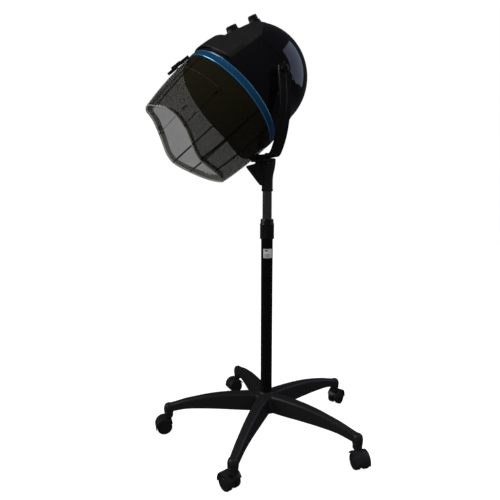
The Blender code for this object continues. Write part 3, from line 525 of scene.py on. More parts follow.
def turned(
    space: Matrix, outline: Outline, steps: int = 96, loop: bool = True, sweep_deg: float = 360.0
) -> bmesh.types.BMesh:
    """Spins a (radius, height) outline round the third axis of a space.

    Args:
        space: The local space.
        outline: Radius and height of each corner.
        steps: Facets in the sweep.
        loop: Whether the outline's last corner joins its first.
        sweep_deg: How far it turns. Less than a full turn is capped at both ends.

    Returns:
        The closed mesh.
    """
    bm = bmesh.new()
    verts = [bm.verts.new((radius, 0.0, height)) for radius, height in outline]
    pairs = list(zip(verts, verts[1:])) + ([(verts[-1], verts[0])] if loop else [])
    edges = [bm.edges.new(pair) for pair in pairs if max(vert.co.x for vert in pair) > 0.0]
    bmesh.ops.spin(
        bm, geom=verts + edges, cent=(0, 0, 0), axis=(0, 0, 1), angle=math.radians(sweep_deg),
        steps=steps, use_merge=sweep_deg >= 360.0, use_duplicate=False,
    )
    bmesh.ops.remove_doubles(bm, verts=bm.verts, dist=1e-6)
    if sweep_deg < 360.0:
        bmesh.ops.holes_fill(bm, edges=[e for e in bm.edges if e.is_boundary], sides=0)
    bmesh.ops.transform(bm, matrix=space, verts=bm.verts)
    return outward(bm)


def outward(bm: bmesh.types.BMesh) -> bmesh.types.BMesh:
    """Turns every face of a closed mesh outwards."""
    bmesh.ops.recalc_face_normals(bm, faces=bm.faces)
    if bm.calc_volume(signed=True) < 0.0:
        bmesh.ops.reverse_faces(bm, faces=bm.faces)
    return bm


def swept(stations: Sequence[Sequence[Vector]]) -> bmesh.types.BMesh:
    """Extrudes a face from station to station.

    Args:
        stations: The section at each station, all with the same number of corners.

    Returns:
        The closed mesh.
    """
    bm = bmesh.new()
    ring = [bm.verts.new(point) for point in stations[0]]
    face = bm.faces.new(ring)
    for section in stations[1:]:
        grown = bmesh.ops.extrude_face_region(bm, geom=[face, *face.edges])
        face = next(g for g in grown["geom"] if isinstance(g, bmesh.types.BMFace))
        fresh = {tuple(round(c, 7) for c in v.co): v for v in face.verts}
        ring = [fresh[tuple(round(c, 7) for c in v.co)] for v in ring]
        for vert, point in zip(ring, section):
            vert.co = point
    return outward(bm)


def wrapped(
    space: Matrix,
    turn: Callable[[float, float], float],
    along: Callable[[float, float], float],
    low: Callable[[float, float], float],
    high: Callable[[float, float], float],
    cells: tuple[int, int],
) -> bmesh.types.BMesh:
    """Extrudes a grid into a slab that is wrapped round the third axis of a space.

    Args:
        space: The local space.
        turn: Degrees round the axis at grid position (s, t), both from 0 to 1.
        along: Height along the axis at (s, t).
        low: Inner radius at (degrees, height).
        high: Outer radius at (degrees, height).
        cells: Grid cells round and along.

    Returns:
        The closed mesh.
    """
    bm = bmesh.new()
    bmesh.ops.create_grid(bm, x_segments=cells[0], y_segments=cells[1], size=0.5)
    inner = list(bm.verts)
    bmesh.ops.extrude_face_region(bm, geom=list(bm.faces))
    within = set(inner)
    for vert in bm.verts:
        s, t = vert.co.x + 0.5, vert.co.y + 0.5
        degrees = turn(s, t)
        height = along(s, t)
        radius = (low if vert in within else high)(degrees, height)
        angle = math.radians(degrees)
        vert.co = space @ Vector((radius * math.cos(angle), radius * math.sin(angle), height))
    return outward(bm)


def extruded(space: Matrix, outline: Outline, low: float, high: float) -> bmesh.types.BMesh:
    """Extrudes a local (first, second) outline along the third axis of a space."""
    return swept([[space @ Vector((a, b, c)) for a, b in outline] for c in (low, high)])


def boxed(space: Matrix, low: Sequence[float], high: Sequence[float]) -> bmesh.types.BMesh:
    """Makes a box between two local corners."""
    bm = bmesh.new()
    size = [h - l for l, h in zip(low, high)]
    middle = [(h + l) / 2 for l, h in zip(low, high)]
    place = space @ Matrix.Translation(middle) @ Matrix.Diagonal((*size, 1.0))
    bmesh.ops.create_cube(bm, size=1.0, matrix=place)
    return outward(bm)


def eased(bm: bmesh.types.BMesh, width: float, segments: int = 2, over_deg: float = 30.0) -> bmesh.types.BMesh:
    """Rounds the sharp edges of a closed mesh.

    Args:
        bm: The mesh.
        width: Width of the rounding.
        segments: Facets across it.
        over_deg: Edges that turn more than this are rounded.

    Returns:
        The same mesh.
    """
    sharp = [e for e in bm.edges if len(e.link_faces) == 2 and e.calc_face_angle(0.0) > math.radians(over_deg)]
    bmesh.ops.bevel(
        bm, geom=sharp, offset=width, segments=segments, profile=0.5, affect="EDGES",
        clamp_overlap=True, material=-1,
    )
    return outward(bm)


def joined(meshes: Iterable[bmesh.types.BMesh]) -> bmesh.types.BMesh:
    """Puts several closed meshes in one and frees them."""
    whole = bmesh.new()
    for bm in meshes:
        carrier = bpy.data.meshes.new("carrier")
        bm.to_mesh(carrier)
        bm.free()
        whole.from_mesh(carrier)
        bpy.data.meshes.remove(carrier)
    return whole


def cad_copy(node: str) -> bmesh.types.BMesh:
    """Copies a CAD node's mesh, merged into one surface with its flat facets dissolved."""
    bm = bmesh.new()
    bm.from_mesh(bpy.data.objects[node].data)
    bmesh.ops.remove_doubles(bm, verts=bm.verts, dist=2e-6)
    bmesh.ops.dissolve_limit(bm, angle_limit=math.radians(1.0), verts=bm.verts, edges=bm.edges)
    return bm


def helper(bm: bmesh.types.BMesh) -> bpy.types.Object:
    """Makes a throwaway object for a Boolean."""
    mesh = bpy.data.meshes.new("helper")
    bm.to_mesh(mesh)
    bm.free()
    obj = bpy.data.objects.new("helper", mesh)
    bpy.context.scene.collection.objects.link(obj)
    return obj


def combined(
    bm: bmesh.types.BMesh, others: Iterable[bmesh.types.BMesh], operation: str = "DIFFERENCE"
) -> bmesh.types.BMesh:
    """Combines a closed mesh with others, one after another.

    Args:
        bm: The mesh to change. It is freed.
        others: The meshes to cut away, add or keep. They are freed.
        operation: The Boolean's operation.

    Returns:
        The result as a new mesh.
    """
    base = helper(bm)
    tools = [helper(other) for other in others]
    for tool in tools:
        modifier = base.modifiers.new("cut", "BOOLEAN")
        modifier.operation, modifier.solver, modifier.object = operation, "EXACT", tool
    graph = bpy.context.evaluated_depsgraph_get()
    made = bmesh.new()
    made.from_mesh(base.evaluated_get(graph).to_mesh())
    for obj in [base, *tools]:
        mesh = obj.data
        bpy.data.objects.remove(obj)
        bpy.data.meshes.remove(mesh)
    bmesh.ops.remove_doubles(made, verts=made.verts, dist=1e-6)
    bmesh.ops.dissolve_degenerate(made, dist=1e-6, edges=made.edges)
    return outward(made)


def painted(bm: bmesh.types.BMesh, index: int, inside: Callable[[Vector], bool]) -> bmesh.types.BMesh:
    """Gives the faces whose middle passes a test another of the piece's finishes."""
    for face in bm.faces:
        if inside(face.calc_center_median()):
            face.material_index = index
    return bm


def as_piece(
    name: str,
    bm: bmesh.types.BMesh,
    finishes: Finish | Sequence[Finish],
    body: str,
    stands_for: Sequence[str] = (),
    crease_deg: float = 34.0,
) -> bpy.types.Object:
    """Makes a finished piece that rides on a body.

    Args:
        name: The piece's name.
        bm: Its mesh in the row frame. It is freed.
        finishes: Its finish, or one for each material index.
        body: The CAD body it moves with.
        stands_for: CAD nodes that it replaces.
        crease_deg: Edges that turn more than this are shaded sharp.

    Returns:
        The piece.
    """
    finishes = [finishes] if isinstance(finishes, Finish) else list(finishes)
    mesh = bpy.data.meshes.new(name)
    bm.to_mesh(mesh)
    bm.free()
    mesh.shade_smooth()
    mesh.set_sharp_from_angle(angle=math.radians(crease_deg))
    for each in finishes:
        mesh.materials.append(each.material())
    obj = bpy.data.objects.new(name, mesh)
    bpy.context.scene.collection.objects.link(obj)
    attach(obj, body)
    if stands_for:
        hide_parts(*stands_for)
    LOG.info("%s: %d faces on %s", name, len(mesh.polygons), body)
    return obj


def dress_node(node: str, finish: Finish) -> None:
    """Gives a CAD node that stays in view its procedural finish."""
    obj = bpy.data.objects[node]
    obj.data.materials.clear()
    obj.data.materials.append(finish.material())
    LOG.info("%s: CAD node in %s", node, finish.name)


# ------------------------------------------------------------------ base and casters


@dataclass
class StarBase:
    """The moulded five-armed foot with its caster sockets."""

    layout: Layout
    stem_circle: float = 0.280
    first_arm_deg: float = 246.2
    hub_radius: float = 0.0360
    hub_bottom: float = 0.0700
    hub_top: float = 0.1215
    tube_socket: float = 0.0163
    edge_radius: float = 0.0075
    wall: float = 0.0035
    rib_pitch: float = 0.0085
    rib_depth: float = 0.0009
    stations: int = 66
    # Reach from the column, under side, top side and half width.
    shape: tuple[tuple[float, float, float, float], ...] = (
        (0.020, 0.0720, 0.1200, 0.0190),
        (0.060, 0.0725, 0.1205, 0.0175),
        (0.122, 0.0745, 0.1180, 0.0155),
        (0.175, 0.0755, 0.1115, 0.0140),
        (0.228, 0.0740, 0.1005, 0.0130),
        (0.255, 0.0690, 0.0920, 0.0125),
        (0.279, 0.0630, 0.0850, 0.0115),
    )

    def arm_space(self, index: int) -> Matrix:
        """Local (reach, across, up) space of one arm."""
        angle = math.radians(self.first_arm_deg + 72.0 * index)
        out = Vector((math.cos(angle), math.sin(angle), 0.0))
        return space_of(self.layout.column, out, UP.cross(out), UP)

    def column_of(self, row: int) -> Outline:
        """One measure of the arm as a table over its reach."""
        return [(station[0], station[row]) for station in self.shape]

    def section(self, reach: float) -> list[tuple[float, float]]:
        """The arm's rounded section.

        Args:
            reach: Distance from the column.

        Returns:
            Its (across, up) corners.
        """
        low, high, half = (smooth_between(reach, self.column_of(row)) for row in (1, 2, 3))
        fade = bell(reach, 0.208, 0.048)
        ripple = self.rib_depth * fade * (0.5 - 0.5 * math.cos(math.tau * reach / self.rib_pitch))
        high -= ripple
        top_half = half - 0.0012 - 0.5 * ripple
        round_off = min(self.edge_radius, 0.62 * half)
        right = []
        for step in range(6):
            angle = math.radians(18.0 * step)
            right.append((
                top_half - round_off * (1.0 - math.cos(angle)),
                high - round_off * (1.0 - math.sin(angle)),
            ))
        lower = [(half - 0.0008, low), (half, low + 0.0010)]
        left = [(-a, b) for a, b in reversed(right)]
        return [*lower, *right, *left, (-half, low + 0.0010), (0.0008 - half, low)]

    def arm(self, index: int) -> bmesh.types.BMesh:
        """One solid arm, from inside the hub to its caster socket."""
        space = self.arm_space(index)
        first, last = self.shape[0][0], self.shape[-1][0]
        reaches = [first + (last - first) * i / self.stations for i in range(self.stations + 1)]
        return swept([[space @ Vector((r, a, b)) for a, b in self.section(r)] for r in reaches])

    def channel(self, index: int) -> bmesh.types.BMesh:
        """The hollow under one arm."""
        space = self.arm_space(index)
        stations = []
        for reach in (0.046, 0.085, 0.122, 0.150, 0.175, 0.205, 0.228):
            low, high, half = (smooth_between(reach, self.column_of(row)) for row in (1, 2, 3))
            inner = half - self.wall
            outline = ((-inner, low - 0.004), (inner, low - 0.004), (inner - 0.0022, high - 0.0105),
                       (inner - 0.0045, high - 0.0085), (0.0045 - inner, high - 0.0085), (0.0022 - inner, high - 0.0105))
            stations.append([space @ Vector((reach, a, b)) for a, b in outline])
        return swept(stations)

    def socket(self, index: int) -> bmesh.types.BMesh:
        """The round caster socket at an arm's end."""
        at = self.arm_space(index) @ Matrix.Translation((self.stem_circle, 0.0, 0.0))
        return turned(at, [
            (0.0, 0.0580), (0.0124, 0.0580), (0.0132, 0.0586), (0.0135, 0.0625), (0.0130, 0.0632), (0.0136, 0.0645),
            (0.0139, 0.0710), (0.0135, 0.0750), (0.0125, 0.0792), (0.0106, 0.0826),
            (0.0076, 0.0850), (0.0038, 0.0861), (0.0, 0.0863),
        ], 48, loop=False)

    def hub(self) -> bmesh.types.BMesh:
        """The middle boss, with the raised ring that the column stands in."""
        top = self.hub_top
        return turned(self.layout.upright, [
            (0.0, self.hub_bottom), (self.hub_radius - 0.001, self.hub_bottom),
            (self.hub_radius, self.hub_bottom + 0.001), (self.hub_radius, top - 0.0105),
            (self.hub_radius - 0.0010, top - 0.0068), (self.hub_radius - 0.0035, top - 0.0030),
            (self.hub_radius - 0.0075, top - 0.0008), (0.0228, top), (0.0215, top + 0.0010),
            (0.0205, top + 0.0030), (0.0192, top + 0.0035), (0.0, top + 0.0035),
        ], 80, loop=False)

    def build(self) -> None:
        """Makes the foot in one piece and dresses what stays of the CAD."""
        upright = self.layout.upright
        solid = combined(self.hub(), [self.arm(i) for i in range(5)] + [self.socket(i) for i in range(5)], "UNION")
        cuts = [self.channel(i) for i in range(5)]
        cuts.append(turned(upright, [
            (0.0, 0.0817), (self.tube_socket, 0.0817), (self.tube_socket, 0.1300), (0.0, 0.1300)], 64, loop=False))
        cuts.append(turned(upright, [(0.0, 0.066), (0.0053, 0.066), (0.0053, 0.084), (0.0, 0.084)], 24, loop=False))
        for index in range(5):
            at = self.arm_space(index) @ Matrix.Translation((self.stem_circle, 0.0, 0.0))
            cuts.append(turned(at, [(0.0, 0.054), (0.0058, 0.054), (0.0058, 0.0815), (0.0, 0.0815)], 20, loop=False))
        as_piece("star_foot", combined(solid, cuts), NYLON, "base", ["star_base"], 38.0)
        dress_node("hub_bolt", STEEL)


@dataclass
class Caster:
    """One hooded twin-wheel caster."""

    layout: Layout
    number: int
    arm_deg: float
    trail_deg: float
    trail: float = 0.0140
    stem_circle: float = 0.280
    wheel_radius: float = 0.0215
    web_half: float = 0.0045
    wheel_gap: float = 0.0008
    wheel_width: float = 0.0140
    guard_from_deg: float = -12.0
    guard_sweep_deg: float = 168.0

    def __post_init__(self) -> None:
        """Works out the caster's two spaces."""
        arm, trail = math.radians(self.arm_deg), math.radians(self.trail_deg)
        swivel = self.layout.column + self.stem_circle * Vector((math.cos(arm), math.sin(arm), 0.0))
        back = Vector((math.cos(trail), math.sin(trail), 0.0))
        across = UP.cross(back)
        self.upright = space_of(swivel, back, across, UP)
        axle = swivel + self.trail * back + self.wheel_radius * UP
        self.flat = space_of(axle, back, UP, across)

    def guard(self) -> bmesh.types.BMesh:
        """The arched hood over both wheels, with its middle web and swivel boss."""
        edge = [(0.0223, 0.0200), (0.0237, 0.0200), (0.0245, 0.0195), (0.0249, 0.0184)]
        inner = [(0.0229, 0.0182), (0.0223, 0.0190)]
        outline = [(r, -w) for r, w in edge] + [(r, w) for r, w in reversed(edge)]
        outline += [(r, w) for r, w in reversed(inner)] + [(r, -w) for r, w in inner]
        start = self.flat @ Matrix.Rotation(math.radians(self.guard_from_deg), 4, "Z")
        arch = turned(start, outline, 40, sweep_deg=self.guard_sweep_deg)
        half = self.web_half
        disc = turned(self.flat, [
            (0.0031, -half), (0.0165, -half), (0.0172, 0.0007 - half), (0.0172, half - 0.0007), (0.0165, half),
            (0.0031, half)], 48)
        web = turned(start, [(0.0090, -half + 0.0002), (0.0238, -half + 0.0002), (0.0238, half - 0.0002),
                             (0.0090, half - 0.0002)], 40, sweep_deg=self.guard_sweep_deg)
        boss = turned(self.upright, [
            (0.0058, 0.0440), (0.0100, 0.0440), (0.0118, 0.0462), (0.0124, 0.0490), (0.0124, 0.0545),
            (0.0118, 0.0560), (0.0108, 0.0566), (0.0058, 0.0566)], 40)
        return joined([arch, web, disc, boss])

    def wheel(self, sign: float) -> bmesh.types.BMesh:
        """One wheel, with its rounded tread, recessed face and hub cap.

        Args:
            sign: Which side of the web it is on.

        Returns:
            The mesh.
        """
        near = self.web_half + self.wheel_gap
        far = near + self.wheel_width
        radius = self.wheel_radius
        outline = [
            (0.0032, near), (radius - 0.0010, near), (radius - 0.0002, near + 0.0004), (radius, near + 0.0012),
            (radius, far - 0.0045), (radius - 0.0004, far - 0.0026), (radius - 0.0014, far - 0.0010),
            (radius - 0.0030, far - 0.0002), (radius - 0.0046, far), (radius - 0.0052, far - 0.0009),
            (0.0112, far - 0.0013), (0.0104, far - 0.0004), (0.0070, far - 0.0001), (0.0, far),
            (0.0, far - 0.0012), (0.0032, far - 0.0012),
        ]
        return turned(self.flat, [(r, sign * w) for r, w in outline], 64)

    def build(self) -> None:
        """Makes the caster's pieces and dresses its stem and axle."""
        n = self.number
        body = f"caster_{n}"
        as_piece(f"mudguard_{n}", self.guard(), NYLON, body, [f"{body}_housing"], 36.0)
        for hand, sign in (("left", 1.0), ("right", -1.0)):
            as_piece(f"wheel_{n}_{hand}", self.wheel(sign), TREAD, f"{body}_{hand}", [f"{body}_wheel_{hand}"], 30.0)
        dress_node(f"{body}_stem", BLACK_STEEL)
        dress_node(f"{body}_axle", STEEL)


# ------------------------------------------------------------------ column, neck and fork


@dataclass
class Column:
    """The telescopic column with its clamping collar."""

    layout: Layout
    tube_radius: float = 0.0160
    tube_wall: float = 0.0015
    tube_foot: float = 0.0820
    tube_top: float = 0.5800
    inner_radius: float = 0.0125
    inner_wall: float = 0.00125
    inner_foot: float = 0.1900
    inner_top: float = 0.7740
    collar_radius: float = 0.0193
    collar_bottom: float = 0.5620
    collar_top: float = 0.6160
    flutes: int = 22
    label_middle: float = 0.5235
    label_height: float = 0.0250
    label_from_deg: float = -62.0
    label_sweep_deg: float = 92.0

    def pipe(self, outer: float, wall: float, low: float, high: float, ease: float) -> bmesh.types.BMesh:
        """A tube with eased ends.

        Args:
            outer: Outside radius.
            wall: Wall thickness.
            low: Lower end.
            high: Upper end.
            ease: How far the end corners are eased.

        Returns:
            The mesh.
        """
        inner = outer - wall
        return turned(self.layout.upright, [
            (inner, low + ease), (inner + ease, low), (outer - ease, low), (outer, low + ease),
            (outer, high - ease), (outer - ease, high), (inner + ease, high), (inner, high - ease)], 96)

    def collar(self) -> bmesh.types.BMesh:
        """The clamping collar, with a fluted grip and a narrower top ring."""
        bottom, top, radius = self.collar_bottom, self.collar_top, self.collar_radius
        inner = self.inner_radius + 0.00042
        outline = [
            (self.tube_radius + 0.0003, bottom), (radius - 0.0012, bottom), (radius - 0.0004, bottom + 0.0006),
            (radius, bottom + 0.0016), (radius, bottom + 0.0050), (radius - 0.0001, bottom + 0.0056)]
        outline += [(radius - 0.0001, bottom + 0.0060 + 0.0026 * k) for k in range(13)]
        outline += [
            (radius, 0.6000), (radius, 0.6030), (radius - 0.0006, 0.6042), (0.0179, 0.6050), (0.0176, 0.6062),
            (0.0176, top - 0.0022), (0.0171, top - 0.0006), (0.0162, top), (inner, top), (inner, 0.6115),
            (0.0150, 0.6110), (0.0169, 0.5935), (0.0169, self.tube_top), (self.tube_radius + 0.0003, self.tube_top)]
        bm = turned(self.layout.upright, outline, self.flutes * 8)
        axis = self.layout.column
        for vert in bm.verts:
            out = Vector((vert.co.x - axis.x, vert.co.y - axis.y, 0.0))
            if abs(out.length - (radius - 0.0001)) < 1e-5 and bottom + 0.0058 < vert.co.z < 0.6000:
                phase = self.flutes * math.atan2(out.y, out.x)
                vert.co -= out.normalized() * 0.0009 * (0.5 + 0.5 * math.cos(phase)) ** 2
        return bm

    def label(self, low: float, high: float, start: float, sweep: float, lift: float) -> bmesh.types.BMesh:
        """A paper patch wrapped round the tube.

        Args:
            low: Lower edge.
            high: Upper edge.
            start: Where it starts round the tube, in degrees.
            sweep: How far round it goes.
            lift: How far its back stands off the tube.

        Returns:
            The mesh.
        """
        base = self.tube_radius + lift
        return wrapped(
            self.layout.upright,
            lambda s, t: start + sweep * s, lambda s, t: low + (high - low) * t,
            lambda a, w: base, lambda a, w: base + 0.00012, (24, 2),
        )

    def labels(self) -> None:
        """A plain white label with bars and a block of red, and no words."""
        low = self.label_middle - self.label_height / 2
        high = self.label_middle + self.label_height / 2
        start, sweep = self.label_from_deg, self.label_sweep_deg
        as_piece("column_label", self.label(low, high, start, sweep, 0.00004), PAPER, "base")
        red = self.label(high - 0.0068, high - 0.0022, start + 0.16 * sweep, 0.30 * sweep, 0.00017)
        as_piece("column_label_red_block", red, RED_INK, "base")
        bars = [
            self.label(low + 0.0022 + 0.0026 * k, low + 0.0031 + 0.0026 * k, start + 0.12 * sweep,
                       (0.55 if k % 2 else 0.72) * sweep, 0.00017) for k in range(4)]
        as_piece("column_label_bars", joined(bars), SATIN, "base")

    def build(self) -> None:
        """Makes the column's pieces."""
        outer = self.pipe(self.tube_radius, self.tube_wall, self.tube_foot, self.tube_top, 0.0003)
        as_piece("lower_tube", outer, ENAMEL, "base", ["outer_tube"])
        inner = self.pipe(self.inner_radius, self.inner_wall, self.inner_foot, self.inner_top, 0.0002)
        as_piece("sliding_tube", inner, CHROME, "mast", ["inner_tube"])
        as_piece("clamp_collar", self.collar(), SATIN, "collar", ["lock_collar"], 30.0)
        dress_node("collet", NYLON)
        dress_node("guide_bush", NYLON)
        self.labels()


@dataclass
class Fork:
    """The neck on top of the mast and the two arms that carry the hood."""

    layout: Layout
    thickness: float = 0.0080
    ridge: float = 0.0022
    arm_stations: int = 72
    # Sideways, up, middle along y, half width.
    path: tuple[tuple[float, float, float, float], ...] = (
        (0.0010, 0.7826, -0.0150, 0.0140), (0.0600, 0.7826, -0.0170, 0.0150), (0.0860, 0.7862, -0.0215, 0.0150),
        (0.1060, 0.7960, -0.0260, 0.0145), (0.1230, 0.8140, -0.0280, 0.0145), (0.1370, 0.8380, -0.0290, 0.0145),
        (0.1480, 0.8680, -0.0300, 0.0142), (0.1545, 0.9000, -0.0310, 0.0140), (0.1560, 0.9300, -0.0330, 0.0140),
        (0.1560, 0.9720, -0.0370, 0.0140), (0.1560, 0.9810, -0.0370, 0.0108), (0.1560, 0.9860, -0.0370, 0.0045),
    )

    def place(self, at: float) -> list[float]:
        """Sideways, up, middle and half width at a place along the arm, from 0 to its last station."""
        return [smooth_between(at, [(float(i), row[k]) for i, row in enumerate(self.path)]) for k in range(4)]

    def arm(self, hand: Hand) -> bmesh.types.BMesh:
        """One curved arm, with a raised ridge and rolled edges on its outer face."""
        last = len(self.path) - 1
        t, column = self.thickness / 2.0, self.layout.column
        stations = []
        for i in range(self.arm_stations + 1):
            at = last * i / self.arm_stations
            x, z, y, half = self.place(at)
            before, after = self.place(max(at - 0.05, 0.0)), self.place(min(at + 0.05, float(last)))
            along = Vector((after[0] - before[0], 0.0, after[1] - before[1])).normalized()
            out = Vector((along.z, 0.0, -along.x))
            lip = min(0.0030, 0.4 * half)
            right = [(half, -t + 0.0008), (half, 0.3 * t), (half - 0.10 * lip, 0.75 * t), (half - 0.35 * lip, t),
                     (half - 0.9 * lip, t), (half - 1.1 * lip, t - 0.0009), (0.34 * half, t - 0.0009),
                     (0.26 * half, t + 0.0004), (0.18 * half, t + 0.6 * self.ridge), (0.08 * half, t + self.ridge)]
            outline = [(half - 0.0008, -t), *right, *[(-a, b) for a, b in reversed(right)], (0.0008 - half, -t)]
            section = []
            for across, lift in outline:
                point = Vector((x, y + across, z)) + lift * out
                section.append(column + Vector((hand.value * point.x, point.y, point.z)))
            stations.append(section)
        return swept(stations)

    def across(self, hand: Hand) -> Matrix:
        """Local space on the tilt axis, with its third axis out of that side of the hood."""
        return space_of(self.layout.tilt_point, UP, FORWARD, hand.value * SIDE)

    def screw(self, hand: Hand) -> bmesh.types.BMesh:
        """A pivot screw with a domed head and a cross recess."""
        at = self.across(hand)
        head = turned(at, [
            (0.0, 0.1220), (0.0034, 0.1220), (0.0040, 0.1226), (0.0040, 0.1370), (0.0086, 0.1370), (0.0090, 0.1374),
            (0.0090, 0.1508), (0.0086, 0.1512), (0.0040, 0.1512), (0.0040, 0.1617), (0.0084, 0.1620), (0.0096, 0.1626),
            (0.0099, 0.1636), (0.0095, 0.1654), (0.0080, 0.1668), (0.0052, 0.1677), (0.0, 0.1680)], 48, loop=False)
        slots = [boxed(at, (-0.0042, -0.0007, 0.1660), (0.0042, 0.0007, 0.1700)),
                 boxed(at, (-0.0007, -0.0042, 0.1660), (0.0007, 0.0042, 0.1700))]
        return combined(head, slots)

    def bolt(self, hand: Hand) -> bmesh.types.BMesh:
        """A hexagon bolt that ties an arm to the neck."""
        at = self.layout.upright @ Matrix.Translation((hand.value * 0.0300, -0.0160, 0.0))
        shank = turned(at, [(0.0, 0.7640), (0.0029, 0.7640), (0.0029, 0.7875), (0.0, 0.7875)], 24, loop=False)
        low = eased(turned(at, [(0.0, 0.7620), (0.0060, 0.7620), (0.0060, 0.7676), (0.0, 0.7676)], 6, loop=False), 0.0005)
        high = eased(turned(at, [(0.0, 0.7870), (0.0055, 0.7870), (0.0055, 0.7900), (0.0, 0.7900)], 6, loop=False), 0.0004)
        return combined(shank, [low, high], "UNION")

    def neck(self) -> bmesh.types.BMesh:
        """The neck: a socket for the mast, a gusset with open pockets, and the plate under the fork."""
        upright, profile = self.layout.upright, self.layout.profile
        bottom, top = 0.6905, 0.7765
        body = turned(upright, [
            (0.0, bottom), (0.0143, bottom), (0.0150, bottom + 0.0005), (0.0154, bottom + 0.0016),
            (0.0154, bottom + 0.0060), (0.0148, bottom + 0.0068), (0.0148, 0.7200), (0.0156, 0.7300),
            (0.0172, 0.7390), (0.0192, 0.7470), (0.0208, 0.7560), (0.0218, 0.7650),
            (0.0222, top - 0.0020), (0.0216, top - 0.0004), (0.0208, top), (0.0, top)], 72, loop=False)
        web = extruded(profile, [
            (0.0120, 0.7070), (0.0190, 0.7060), (0.0240, 0.7105), (0.0420, 0.7320), (0.0585, 0.7515), (0.0600, 0.7535),
            (0.0600, 0.7566), (0.0560, 0.7580), (0.0180, 0.7680), (0.0120, 0.7680)], -0.0045, 0.0045)
        plate = eased(boxed(upright, (-0.0420, -0.0300, 0.7680), (0.0420, 0.0020, top)), 0.0018, 3)
        solid = combined(body, [eased(web, 0.0009, 2, 40.0), plate], "UNION")
        cuts = [turned(upright, [(0.0, 0.680), (0.01265, 0.680), (0.01265, 0.7743), (0.0, 0.7743)], 64, loop=False)]
        for low, high in ((0.0015, 0.0090), (-0.0090, -0.0015)):
            cuts.append(extruded(profile, [(0.0225, 0.7200), (0.0258, 0.7195), (0.0352, 0.7310), (0.0352, 0.7560), (0.0225, 0.7590)], low, high))
            cuts.append(extruded(profile, [(0.0376, 0.7338), (0.0470, 0.7450), (0.0470, 0.7530), (0.0376, 0.7553)], low, high))
        return combined(solid, cuts)

    def build(self) -> None:
        """Makes the neck, both arms, their bolts and the pivot screws."""
        as_piece("neck_casting", self.neck(), NYLON, "neck", ["neck_socket"], 32.0)
        for hand in Hand:
            hole = turned(self.across(hand), [(0.0, 0.130), (0.0043, 0.130), (0.0043, 0.1640), (0.0, 0.1640)], 32, loop=False)
            word = hand.word
            as_piece(f"fork_arm_{word}", combined(self.arm(hand), [hole]), SATIN, "neck", [f"yoke_arm_{word}"], 30.0)
            as_piece(f"fork_bolt_{word}", self.bolt(hand), BLACK_STEEL, "neck", [f"yoke_bolt_{word}"])
            as_piece(f"tilt_screw_{word}", self.screw(hand), KNOB, "hood", [f"pivot_screw_{word}"], 28.0)


# ------------------------------------------------------------------ hood


